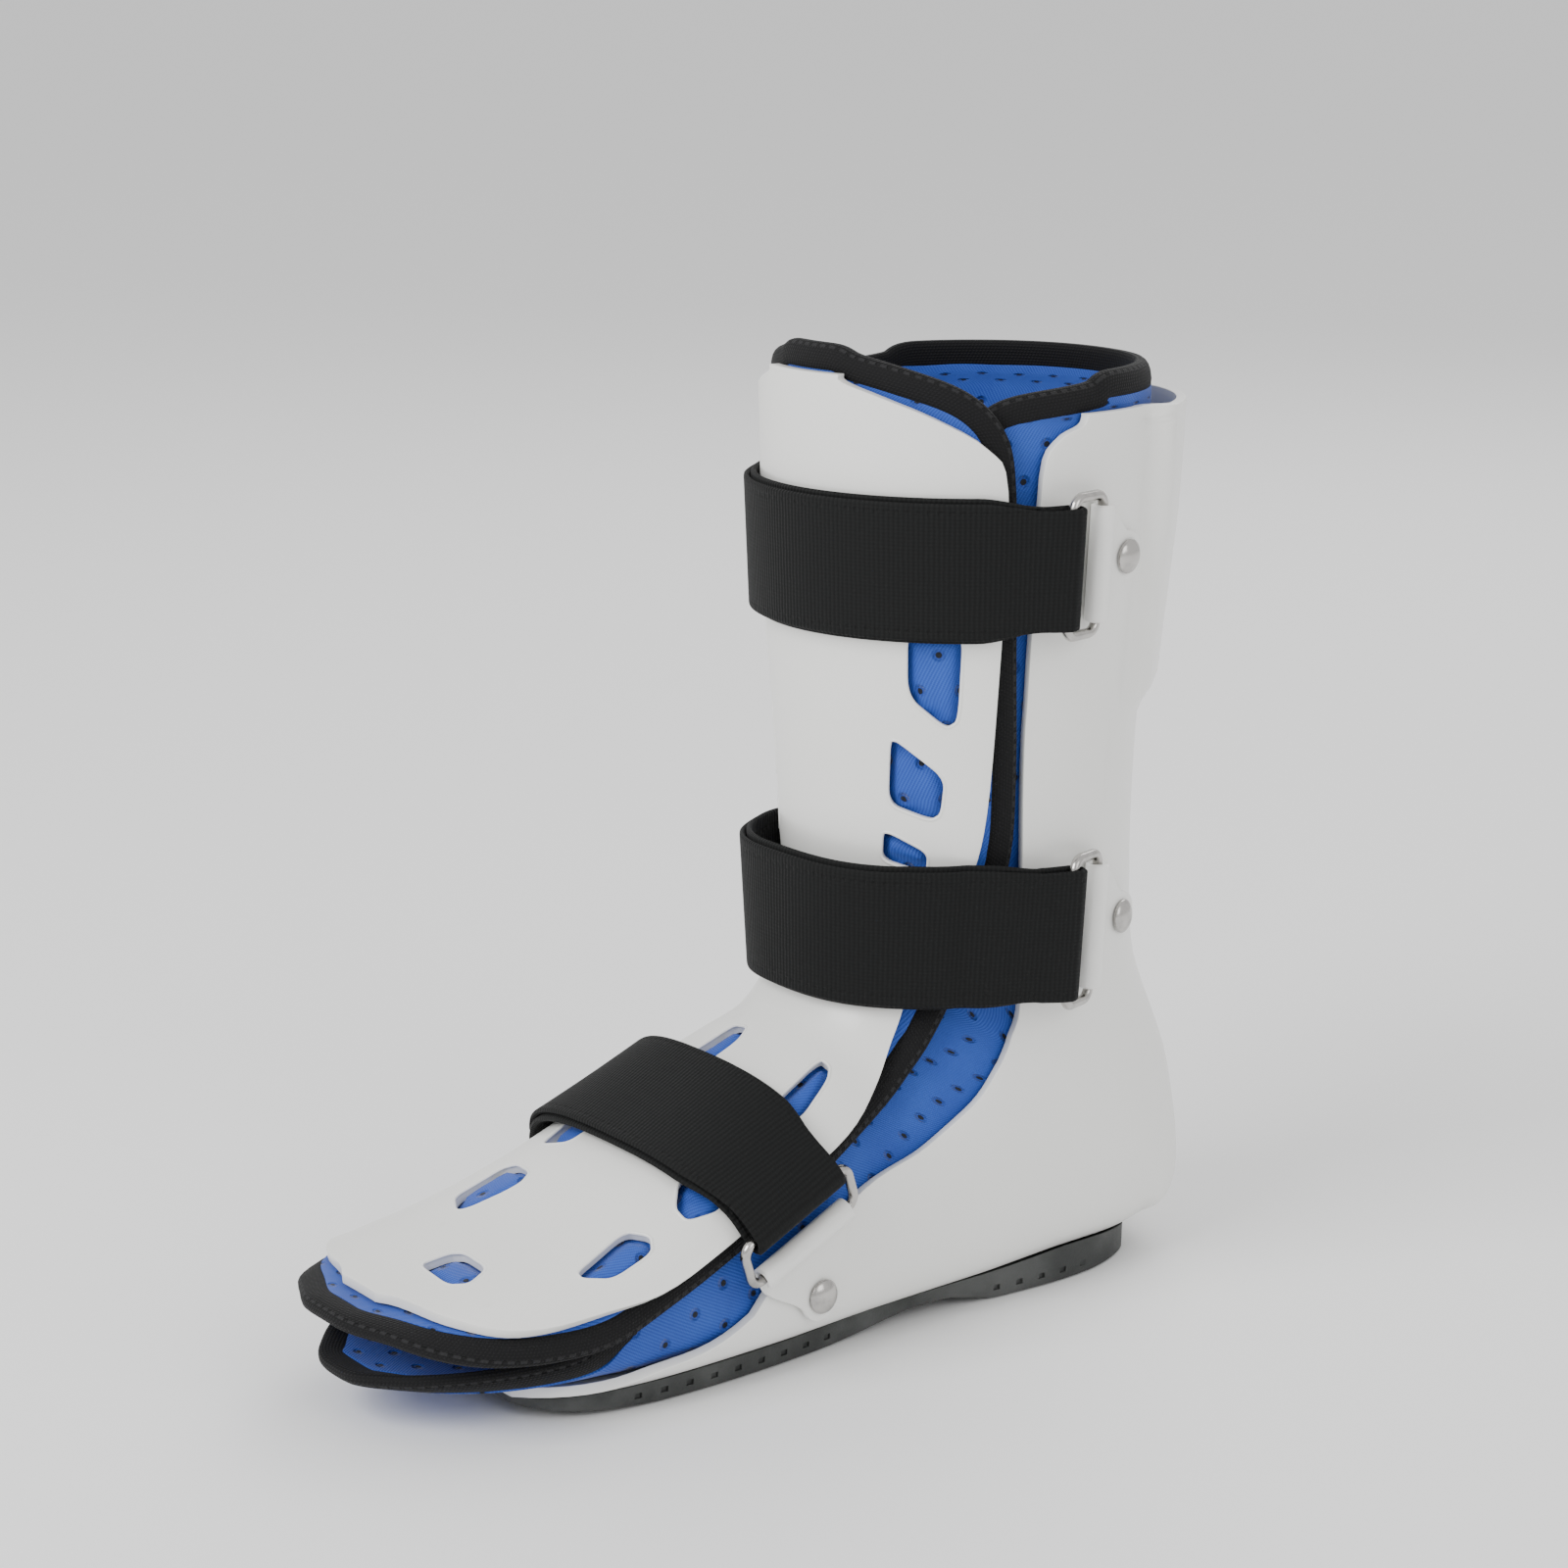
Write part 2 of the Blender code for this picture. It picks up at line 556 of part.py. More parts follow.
def place_at_height(z):
    """Place along the table whose level ring has this height."""
    places = np.linspace(0.0, 4.4, 221)
    heights = np.array([section_at(p)[1] for p in places])
    return float(np.interp(-z, -heights, places))


def top_height(x, y, level):
    """Height of the form above a point of the plan, on top of the foot."""
    best = None
    for place in np.linspace(8.0, 16.0, 161):
        for degrees in (0.0, 15.0, 30.0, 45.0, 60.0):
            point = surface_point(place, degrees, level)
            gap = (point[0] - abs(x)) ** 2 + (point[1] - y) ** 2
            if best is None or gap < best[0]:
                best = (gap, point[2])
    return best[1]


class Band:
    """The line a strap follows round the boot, with directions for height and width."""

    def __init__(self, origin, width_way, level, degrees, places, width):
        self.level = level
        self.degrees = np.array(degrees)
        centres = []
        normals = []
        samples = []
        for angle in degrees:
            line = np.array([surface_point(p, angle, level) for p in places])
            distance = (line - origin) @ width_way
            order = np.argsort(distance)
            middle = float(np.interp(0.0, distance[order], np.array(places)[order]))
            centres.append(surface_point(middle, angle, level))
            normals.append(surface_normal(middle, angle, level))
            spots = []
            for share in (-0.5, -0.25, 0.25, 0.5):
                at = float(np.interp(share * width, distance[order], np.array(places)[order]))
                spots.append(surface_point(at, angle, level))
            samples.append(spots)
        self.centres = np.array(centres)
        self.normals = np.array(normals)
        tangents = np.gradient(self.centres, axis=0)
        tangents /= np.linalg.norm(tangents, axis=1, keepdims=True)
        self.normals -= tangents * np.sum(tangents * self.normals, axis=1, keepdims=True)
        self.normals /= np.linalg.norm(self.normals, axis=1, keepdims=True)
        self.widths = np.cross(self.normals, tangents)
        self.widths *= np.sign(self.widths @ width_way)[:, None]
        lifts = []
        for k, spots in enumerate(samples):
            lifts.append(max([0.0] + [float((spot - self.centres[k]) @ self.normals[k]) for spot in spots]))
        self.centres = self.centres + self.normals * np.array(lifts)[:, None]
        steps = np.linalg.norm(np.diff(self.centres, axis=0), axis=1)
        self.lengths = np.concatenate([[0.0], np.cumsum(steps)])

    def length_at(self, degrees):
        """Distance along the band at an angle."""
        return float(np.interp(degrees, self.degrees, self.lengths))

    def frame(self, length):
        """Centre, outward, width and forward directions at a distance along the band."""
        centre = np.array([np.interp(length, self.lengths, self.centres[:, k]) for k in range(3)])
        normal = np.array([np.interp(length, self.lengths, self.normals[:, k]) for k in range(3)])
        width = np.array([np.interp(length, self.lengths, self.widths[:, k]) for k in range(3)])
        normal /= np.linalg.norm(normal)
        width -= normal * float(width @ normal)
        width /= np.linalg.norm(width)
        return centre, normal, width

    def point(self, length, height, across=0.0, width_way=None):
        """Point at a distance along, a height above and a place across the band."""
        centre, normal, width = self.frame(length)
        if width_way is not None:
            width = width_way
        return centre + normal * height + width * across


def path_offsets(path, half):
    """Points on both sides of a flat path, half a thickness away."""
    path = np.array(path)
    before = np.vstack([path[1] - path[0], np.diff(path, axis=0)])
    after = np.vstack([np.diff(path, axis=0), path[-1] - path[-2]])
    before /= np.linalg.norm(before, axis=1, keepdims=True)
    after /= np.linalg.norm(after, axis=1, keepdims=True)
    left = np.stack([-before[:, 1], before[:, 0]], axis=1) + np.stack([-after[:, 1], after[:, 0]], axis=1)
    left /= np.linalg.norm(left, axis=1, keepdims=True)
    first = np.stack([-before[:, 1], before[:, 0]], axis=1)
    stretch = 1.0 / np.maximum(np.sum(left * first, axis=1), 0.6)
    return path + left * half * stretch[:, None], path - left * half * stretch[:, None]


def ribbon_solid(name, band, path, thick, widths, material, width_way=None, straight_from=None):
    """A strip of cloth or plastic that follows a path drawn along and above a band."""
    upper, lower = path_offsets(path, thick / 2.0)
    points = []
    for k in range(len(path)):
        way = width_way if straight_from is None or path[k][0] > straight_from else None
        for side in (upper[k], lower[k]):
            for across in (-widths[k] / 2.0, widths[k] / 2.0):
                points.append(band.point(side[0], side[1], across, way))
    faces = [(0, 1, 3, 2)]
    last = 4 * (len(path) - 1)
    faces.append((last, last + 2, last + 3, last + 1))
    for k in range(len(path) - 1):
        a = 4 * k
        b = a + 4
        faces.append((a, b, b + 1, a + 1))
        faces.append((a + 2, a + 3, b + 3, b + 2))
        faces.append((a, a + 2, b + 2, b))
        faces.append((a + 1, b + 1, b + 3, a + 3))
    return add_object(name, points, faces, material)


def turn(centre, radius, start, end, steps):
    """Points along an arc, angles in degrees from the forward direction of the band."""
    arc = []
    for k in range(steps + 1):
        angle = math.radians(start + (end - start) * k / steps)
        arc.append((centre[0] + radius * math.cos(angle), centre[1] + radius * math.sin(angle)))
    return arc


def ring_solid(name, front, rear, way, height, material):
    """A rounded wire frame whose two long sides pass through the given points."""
    across = rear - front
    span = float(np.linalg.norm(across))
    across = across / span
    middle = (front + rear) / 2.0
    half = (height - RING_WIRE) / 2.0
    normal = np.cross(across, way)
    normal /= np.linalg.norm(normal)
    corner = min(RING_CORNER, span / 2.0 - 0.2)
    outline = []
    corners = ((1, 1, 0.0), (-1, 1, 90.0), (-1, -1, 180.0), (1, -1, 270.0))
    for side, end, start in corners:
        for k in range(RING_SEGMENTS + 1):
            angle = math.radians(start + 90.0 * k / RING_SEGMENTS)
            u = side * (span / 2.0 - corner) + corner * math.cos(angle)
            v = end * (half - corner) + corner * math.sin(angle)
            outline.append((u, v))
    count = len(outline)
    points = []
    for k in range(count):
        u, v = outline[k]
        before = np.array(outline[k]) - np.array(outline[k - 1])
        after = np.array(outline[(k + 1) % count]) - np.array(outline[k])
        run = before / np.linalg.norm(before) + after / np.linalg.norm(after)
        run /= np.linalg.norm(run)
        side = across * run[1] - way * run[0]
        for m in range(WIRE_SIDES):
            angle = 2.0 * math.pi * (m + 0.5) / WIRE_SIDES
            reach = RING_WIRE / 2.0
            point = middle + across * u + way * v
            points.append(point + side * reach * math.cos(angle) + normal * reach * math.sin(angle))
    faces = []
    for k in range(count):
        for m in range(WIRE_SIDES):
            a = k * WIRE_SIDES + m
            b = k * WIRE_SIDES + (m + 1) % WIRE_SIDES
            c = ((k + 1) % count) * WIRE_SIDES + (m + 1) % WIRE_SIDES
            d = ((k + 1) % count) * WIRE_SIDES + m
            faces.append((a, b, c, d))
    return add_object(name, points, faces, material)


def rivet_solid(name, base, axis, material):
    """A low domed cap that stands on a point."""
    axis = axis / np.linalg.norm(axis)
    side = np.cross(axis, np.array([0.0, 0.0, 1.0]))
    side /= np.linalg.norm(side)
    other = np.cross(axis, side)
    points = []
    for radius, height in RIVET_PROFILE:
        for k in range(RIVET_SIDES):
            angle = 2.0 * math.pi * k / RIVET_SIDES
            points.append(base + axis * height + (side * math.cos(angle) + other * math.sin(angle)) * radius)
    top = len(points)
    points.append(base + axis * RIVET_TOP)
    faces = [tuple(range(RIVET_SIDES - 1, -1, -1))]
    for level in range(len(RIVET_PROFILE) - 1):
        for k in range(RIVET_SIDES):
            a = level * RIVET_SIDES + k
            b = level * RIVET_SIDES + (k + 1) % RIVET_SIDES
            faces.append((a, b, b + RIVET_SIDES, a + RIVET_SIDES))
    start = (len(RIVET_PROFILE) - 1) * RIVET_SIDES
    for k in range(RIVET_SIDES):
        faces.append((start + k, start + (k + 1) % RIVET_SIDES, top))
    return add_object(name, points, faces, material)


def build_strap(row, materials):
    """Strap, ring, tab and two rivets for one row of the strap table."""
    name, y, z, width_y, width_z = row[:5]
    bar_deg, tab_bar_deg, rivet_deg, far_deg = row[5:9]
    clearance, spacing, first_place, last_place = row[9:13]
    width, ring_width, ring_height, tab_width = row[13:]
    origin = np.array([0.0, y, z])
    way = np.array([0.0, width_y, width_z])
    way /= np.linalg.norm(way)
    places = np.arange(first_place, last_place + PLACE_STEP / 2, PLACE_STEP)
    low_level = REAR_SHELL_LEVELS[1]
    top_level = FRONT_SHELL_LEVELS[1]
    span = np.arange(far_deg - BAND_PAST_FAR, bar_deg + BAND_PAST_BAR, BAND_STEP)
    strap_band = Band(origin, way, top_level, span, places, width)
    tab_span = np.arange(bar_deg - TAB_BAND_BEFORE, rivet_deg + TAB_BAND_PAST, BAND_STEP)
    tab_band = Band(origin, way, low_level, tab_span, places, width)

    wire = RING_WIRE / 2.0
    roll_radius = wire + WIRE_GAP + TAB_THICK / 2.0
    fold_radius = wire + WIRE_GAP + STRAP_THICK / 2.0
    tab_bar_at = tab_band.length_at(tab_bar_deg)
    tab_bar_height = TAB_GAP + TAB_THICK / 2.0 + roll_radius
    rear_bar = tab_band.point(tab_bar_at, tab_bar_height)
    ring_way = tab_band.frame(tab_bar_at)[2]

    under = clearance + STRAP_THICK / 2.0
    bar_at = strap_band.length_at(bar_deg)
    bar_height = under - STRAP_DIP + fold_radius
    front_bar = strap_band.point(bar_at, bar_height)
    ring_solid(name + "_ring", front_bar, rear_bar, ring_way, ring_height, materials["bright_metal"])

    far_at = strap_band.length_at(far_deg)
    run_off = [strap_band.length_at(angle) for angle in FAR_RUN_OFF_ANGLES]
    leave_at = bar_at - STRAP_LEAVE_LENGTH
    dip_at = bar_at - STRAP_DIP_LENGTH
    sink = low_level - top_level - clearance + STRAP_FAR_CLEARANCE
    path = []
    for at in np.linspace(far_at, run_off[1], 4):
        path.append((at, under + sink))
    count = int((leave_at - run_off[0]) / spacing) + 2
    path += [(at, under) for at in np.linspace(run_off[0], leave_at, count)]
    path += [(dip_at, under - STRAP_DIP * STRAP_DIP_SHARE)]
    path += turn((bar_at, bar_height), fold_radius, -90.0, 90.0, STRAP_FOLD_STEPS)
    second = under + STRAP_THICK + STRAP_LAYER_GAP
    path += [(dip_at, second + STRAP_UPPER_RISE)]
    fold_end = strap_band.length_at(STRAP_FOLD_END_ANGLE)
    path += [(at, second) for at in np.linspace(leave_at, fold_end, count)]
    narrow = width - ring_width
    taper = (bar_at - STRAP_TAPER_LENGTH, bar_at - STRAP_TAPER_END)
    widths = [width - narrow * smooth_step(at, *taper) for at, _ in path]
    straight_at = bar_at - STRAP_STRAIGHT_LENGTH
    ribbon_solid(
        name + "_strap", strap_band, path, STRAP_THICK, widths, materials["black_webbing"], ring_way,
        straight_at,
    )

    rivet_at = tab_band.length_at(rivet_deg)
    end_at = rivet_at + TAB_END_PAST_RIVET
    base = TAB_GAP + TAB_THICK / 2.0
    path = turn((tab_bar_at, tab_bar_height), roll_radius, *TAB_ROLL_ANGLES, TAB_ROLL_STEPS)
    widths = [tab_width] * len(path)
    length = end_at - tab_bar_at
    for share, narrow in TAB_TAPER:
        path.append((tab_bar_at + length * share, base))
        widths.append(tab_width + (TAB_END_WIDTH - tab_width) * narrow)
    ribbon_solid(name + "_tab", tab_band, path, TAB_THICK, widths, materials["white_shell"], ring_way)
    top = TAB_GAP + TAB_THICK + RIVET_GAP
    centre, normal, _ = tab_band.frame(rivet_at)
    rivet_solid(name + "_rivet_outer", centre + normal * top, normal, materials["bright_metal"])
    inner_at = far_at + FAR_RIVET_INSET
    centre, normal, _ = strap_band.frame(inner_at)
    top = under + sink + STRAP_THICK / 2.0 + RIVET_GAP
    rivet_solid(name + "_rivet_inner", centre + normal * top, normal, materials["bright_metal"])


def build_outsole(material):
    """Rubber sole between the shell's underside and the tread line."""
    tread_y = [row[0] for row in TREAD][::-1]
    tread_z = [row[1] for row in TREAD][::-1]
    top = []
    bottom = []
    plan_y = [row[0] for row in OUTSOLE_PLAN][::-1]
    plan_x = [row[1] for row in OUTSOLE_PLAN][::-1]
    for place in OUTSOLE_STATIONS:
        values = section_at(place)
        mid = surface_point(place, 180.0, OUTSOLE_LEVEL)
        half_x = float(np.interp(mid[1], plan_y, plan_x))
        ratio = min(half_x / (values[3] + OUTSOLE_LEVEL), 1.0)
        edge = math.degrees(math.asin(ratio ** (values[7] / 2.0)))
        row_top = []
        row_bottom = []
        for share in both_sides(OUTSOLE_SPREAD):
            point = surface_point(place, 180.0 + edge * share, OUTSOLE_LEVEL)
            row_top.append(point)
            tread = float(np.interp(point[1], tread_y, tread_z))
            row_bottom.append((point[0] * OUTSOLE_TREAD_SHARE, point[1], tread))
        top.append(row_top)
        bottom.append(row_bottom)
    return grid_solid("outsole", np.array(bottom), np.array(top), material)


def mean_level(levels):
    """Middle of a pair of levels."""
    return (levels[0] + levels[1]) / 2.0


def build():
    """Build every part of the splint."""
    for item in list(bpy.data.objects):
        bpy.data.objects.remove(item, do_unlink=True)
    materials = make_materials()

    def rear_shell_edge(place):
        return edge_angle(place, REAR_SHELL_LEVELS[1], REAR_SHELL_SIDE, REAR_SHELL_PLAN, False)

    def rear_liner_edge(place):
        return edge_angle(place, mean_level(REAR_LINER_LEVELS), REAR_LINER_SIDE, REAR_LINER_PLAN, False)

    def front_shell_edge(place):
        return edge_angle(place, FRONT_SHELL_LEVELS[1], FRONT_SHELL_SIDE, FRONT_SHELL_PLAN, True)

    def front_liner_edge(place):
        return edge_angle(place, mean_level(FRONT_LINER_LEVELS), FRONT_LINER_SIDE, FRONT_LINER_PLAN, True)

    grids = patch_grid(
        REAR_SHELL_STATIONS, REAR_SHELL_SPREAD, 180.0, rear_shell_edge, REAR_SHELL_LEVELS, panel_raise,
    )
    grid_solid("rear_shell", *grids, materials["white_shell"])
    grids = patch_grid(REAR_LINER_STATIONS, REAR_LINER_SPREAD, 180.0, rear_liner_edge, REAR_LINER_LEVELS)
    grid_solid("rear_liner", *grids, materials["blue_padding"])
    binding_solid("rear_binding", *grids, REAR_BINDING_HALF, REAR_BINDING_CURL, materials["black_binding"])

    grids = patch_grid(FRONT_SHELL_STATIONS, FRONT_SPREAD, 0.0, front_shell_edge, FRONT_SHELL_LEVELS)
    front_shell = grid_solid("front_shell", *grids, materials["white_shell"])
    cut = front_shell.modifiers.new("windows", "BOOLEAN")
    cut.operation = "DIFFERENCE"
    cut.object = add_window_cutter(mean_level(FRONT_SHELL_LEVELS))
    grids = patch_grid(FRONT_LINER_STATIONS, FRONT_SPREAD, 0.0, front_liner_edge, FRONT_LINER_LEVELS)
    grid_solid("front_liner", *grids, materials["blue_padding"])
    binding_solid("front_binding", *grids, FRONT_BINDING_HALF, FRONT_BINDING_CURL, materials["black_binding"])

    build_outsole(materials["dark_rubber"])
    for row in STRAPS:
        build_strap(row, materials)


build()
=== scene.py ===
"""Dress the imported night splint: smooth shells, padded liners, bindings, straps, rings and sole.

Left foot, toes towards -Y, outer side towards +X, sole on Z = 0. Tables are in millimetres, as the
part's are; meshes are in metres.
"""

import logging
import math
from dataclasses import astuple, dataclass
from enum import Enum

import bmesh
import bpy
import numpy as np
from mathutils import Matrix, Vector
from mathutils.bvhtree import BVHTree


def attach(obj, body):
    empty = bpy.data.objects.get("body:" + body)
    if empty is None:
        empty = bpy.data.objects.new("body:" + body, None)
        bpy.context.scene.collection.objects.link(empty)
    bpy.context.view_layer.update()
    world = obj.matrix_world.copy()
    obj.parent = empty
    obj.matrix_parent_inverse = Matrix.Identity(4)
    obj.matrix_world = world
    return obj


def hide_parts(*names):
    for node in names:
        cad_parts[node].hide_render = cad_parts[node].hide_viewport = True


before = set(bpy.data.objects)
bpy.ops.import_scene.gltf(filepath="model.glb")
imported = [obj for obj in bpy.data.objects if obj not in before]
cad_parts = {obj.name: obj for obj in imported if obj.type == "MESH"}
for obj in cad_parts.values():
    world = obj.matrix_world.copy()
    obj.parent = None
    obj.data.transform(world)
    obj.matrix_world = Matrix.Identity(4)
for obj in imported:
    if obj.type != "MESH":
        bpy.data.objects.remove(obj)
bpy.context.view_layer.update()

LOG = logging.getLogger("night_splint")
MM = 0.001
Pair = tuple[float, float]


class Slot(Enum):
    """Material slots of the record."""

    WHITE_SHELL = "white_shell"
    BLUE_PADDING = "blue_padding"
    BLACK_BINDING = "black_binding"
    BLACK_WEBBING = "black_webbing"
    DARK_RUBBER = "dark_rubber"
    BRIGHT_METAL = "bright_metal"


class Half(Enum):
    """Which half of the form a patch's middle line lies on."""

    FRONT = 0.0
    REAR = 180.0


@dataclass(frozen=True)
class Section:
    """One ring of the form, in millimetres and degrees."""

    name: str
    centre_y: float
    centre_z: float
    tilt: float
    half_width: float
    front: float
    back: float
    front_power: float
    back_power: float


SECTIONS: tuple[Section, ...] = (
    Section("top", 2.0, 284.0, 0.0, 52.0, 53.0, 56.0, 2.0, 2.1),
    Section("calf", 2.0, 238.0, 0.0, 51.0, 52.0, 54.5, 2.0, 2.1),
    Section("shin", 1.0, 196.0, 0.0, 48.0, 49.5, 52.0, 2.0, 2.1),
    Section("low_leg", 1.0, 160.0, 0.0, 45.0, 47.0, 50.0, 2.0, 2.1),
    Section("ankle", 2.0, 134.6, 9.0, 43.5, 48.6, 49.5, 2.0, 2.1),
    Section("heel_upper", 3.0, 114.3, 20.0, 42.5, 52.1, 53.2, 2.0, 2.2),
    Section("heel_mid", 4.0, 92.9, 30.0, 42.0, 58.3, 74.0, 2.0, 2.3),
    Section("heel_corner", 4.0, 72.7, 38.0, 41.5, 64.7, 85.5, 2.0, 2.5),
    Section("heel_sole", -2.0, 63.3, 43.0, 41.0, 64.6, 79.0, 2.1, 2.8),
    Section("arch_rear", -14.0, 46.3, 52.0, 40.5, 63.2, 47.5, 2.2, 3.4),
    Section("arch_front", -34.0, 35.3, 62.0, 40.5, 56.4, 29.5, 2.4, 4.0),
    Section("instep", -64.0, 34.3, 75.0, 42.0, 43.8, 26.0, 2.6, 4.5),
    Section("ball", -98.0, 28.0, 85.0, 45.0, 36.8, 19.5, 2.7, 4.5),
    Section("toe_root", -134.0, 25.0, 90.0, 47.0, 22.8, 16.5, 2.7, 4.5),
    Section("toes", -160.0, 25.0, 90.0, 46.5, 12.8, 16.0, 2.7, 4.5),
    Section("toe_tip", -190.0, 25.0, 90.0, 44.0, 7.0, 15.0, 2.6, 4.5),
    Section("past_toes", -218.0, 25.0, 90.0, 41.0, 5.0, 13.5, 2.6, 4.5),
)

REAR_SHELL_SIDE = (
    (2.0, 264.6), (-2.5, 263.2), (-6.5, 261.2), (-9.8, 258.2), (-11.6, 254.0), (-12.6, 246.0),
    (-13.0, 202.0), (-13.0, 174.0), (-11.5, 144.0), (-10.0, 114.0), (-10.0, 91.0), (-13.5, 81.0),
    (-19.5, 71.5), (-27.0, 65.0), (-38.0, 58.5), (-52.0, 54.0), (-70.0, 48.0), (-84.0, 40.0),
    (-98.0, 29.5), (-106.0, 24.0), (-113.0, 19.0), (-124.0, 15.5), (-136.0, 13.5), (-149.0, 12.0),
)
REAR_LINER_SIDE = (
    (12.0, 267.5), (-8.0, 267.0), (-16.0, 265.2), (-22.0, 261.0), (-25.5, 254.0), (-26.0, 245.0),
    (-26.0, 202.0), (-25.0, 174.0), (-25.0, 147.0), (-26.5, 125.0), (-35.0, 98.0), (-45.0, 85.0),
    (-56.0, 75.5), (-75.0, 62.5), (-98.0, 50.0), (-117.0, 41.5), (-134.0, 32.5), (-143.0, 27.0),
    (-150.0, 22.5), (-156.0, 18.5),
)
FRONT_SHELL_SIDE = (
    (-57.0, 277.2), (-54.5, 275.2), (-49.5, 271.8), (-42.0, 267.6), (-33.5, 262.5), (-27.5, 256.5),
    (-25.4, 250.0), (-24.6, 240.0), (-24.5, 219.0), (-25.0, 205.0), (-25.0, 174.0), (-26.0, 148.0),
    (-28.5, 135.0), (-35.5, 115.0), (-45.5, 95.5), (-54.0, 80.5), (-63.0, 72.5), (-74.0, 65.8),
    (-98.0, 55.0), (-119.0, 45.6), (-134.0, 39.8), (-154.0, 34.0),
)
FRONT_LINER_SIDE = (
    (-51.8, 277.4), (-49.3, 275.8), (-44.5, 273.6), (-37.0, 270.2), (-30.5, 265.0), (-27.2, 258.0),
    (-26.0, 247.0), (-24.5, 219.0), (-24.0, 202.0), (-22.0, 174.0), (-21.0, 147.0), (-22.5, 134.0),
    (-29.0, 112.0), (-36.5, 97.0), (-44.0, 85.5), (-55.0, 75.5), (-75.0, 65.8), (-98.0, 54.5),
    (-119.0, 45.4), (-136.0, 38.6), (-152.0, 33.2),
)
REAR_SHELL_PLAN = ((-158.0, 42.0), (-165.0, 39.0), (-171.0, 34.0), (-176.0, 27.0))
REAR_LINER_PLAN = (
    (-160.0, 41.5), (-168.0, 38.5), (-176.0, 35.0), (-184.0, 31.0), (-192.0, 26.5), (-199.0, 20.5),
    (-204.0, 14.0), (-206.5, 8.0),
)
FRONT_SHELL_PLAN = (
    (-165.0, 51.6), (-177.0, 49.6), (-185.0, 47.2), (-192.0, 43.4), (-197.0, 37.6), (-201.0, 29.6),
    (-204.0, 18.0), (-205.5, 9.0),
)
FRONT_LINER_PLAN = (
    (-163.0, 47.2), (-177.0, 45.0), (-186.0, 42.4), (-194.0, 38.2), (-200.0, 32.8), (-205.0, 24.8),
    (-208.0, 17.0), (-209.8, 9.0),
)
OUTSOLE_PLAN = (
    (57.5, 12.0), (54.0, 20.0), (47.0, 26.0), (36.0, 30.5), (20.0, 32.5), (0.0, 32.5),
    (-30.0, 31.5), (-60.0, 33.0), (-90.0, 37.5), (-120.0, 40.0), (-148.0, 39.5), (-162.0, 36.0),
    (-170.0, 30.0), (-174.0, 22.0),
)
TREAD = (
    (80.0, 0.0), (-9.0, 0.0), (-16.0, 1.2), (-26.0, 3.4), (-42.0, 3.2), (-60.0, 0.8), (-70.0, 0.0),
    (-136.0, 0.0), (-160.0, 1.6), (-176.0, 3.4),
)
REAR_SHELL_STATIONS = (
    0.428, 0.45, 0.49, 0.56, 0.75, 1.5, 2.25, 2.6, 3.6, 4.7, 5.3, 6.0, 6.5, 7.0, 7.35, 7.7, 8.0, 8.5, 9.1,
    9.7, 10.4, 11.1, 11.7, 12.3, 12.8, 13.4, 14.0, 14.53,
)
REAR_LINER_STATIONS = (
    0.36, 0.41, 0.47, 0.56, 0.75, 1.5, 2.6, 3.6, 4.7, 5.3, 6.0, 6.5, 7.0, 7.35, 7.7, 8.0, 8.5, 9.1,
    9.7, 10.4, 11.1, 11.7, 12.3, 12.8, 13.1, 13.4, 13.7, 14.0, 14.5, 14.9, 15.2, 15.45, 15.59,
)
FRONT_SHELL_STATIONS = (
    0.168, 0.22, 0.31, 0.42, 0.58, 0.8, 1.7, 2.7, 3.7, 4.6, 5.4, 6.2, 7.0, 7.8, 8.6, 9.4, 10.2, 11.0,
    11.8, 12.6, 13.3, 14.0, 14.6, 15.0, 15.3, 15.45, 15.552,
)
FRONT_LINER_STATIONS = (
    0.16, 0.2, 0.28, 0.4, 0.56, 0.8, 1.7, 2.7, 3.7, 4.6, 5.4, 6.2, 7.0, 7.8, 8.6, 9.4, 10.2, 11.0,
    11.8, 12.6, 13.3, 14.0, 14.6, 15.05, 15.36, 15.56, 15.706,
)
OUTSOLE_STATIONS = (
    8.05, 8.3, 8.6, 9.1, 9.65, 9.95, 10.5, 11.1, 11.8, 12.3, 12.8, 13.4, 14.0, 14.3, 14.46,
)
LEG_WINDOWS = (
    ("shin_upper", ((36.5, 209.0), (53.0, 209.0), (52.3, 182.0), (48.2, 179.5), (36.5, 188.5))),
    (
        "shin_middle",
        ((31.0, 176.0), (34.0, 176.0), (48.5, 165.5), (47.5, 153.0), (44.0, 150.3), (30.0, 155.5)),
    ),
    ("shin_lower", ((28.8, 144.0), (32.0, 144.0), (44.0, 137.0), (43.5, 126.0), (28.5, 129.0))),
)
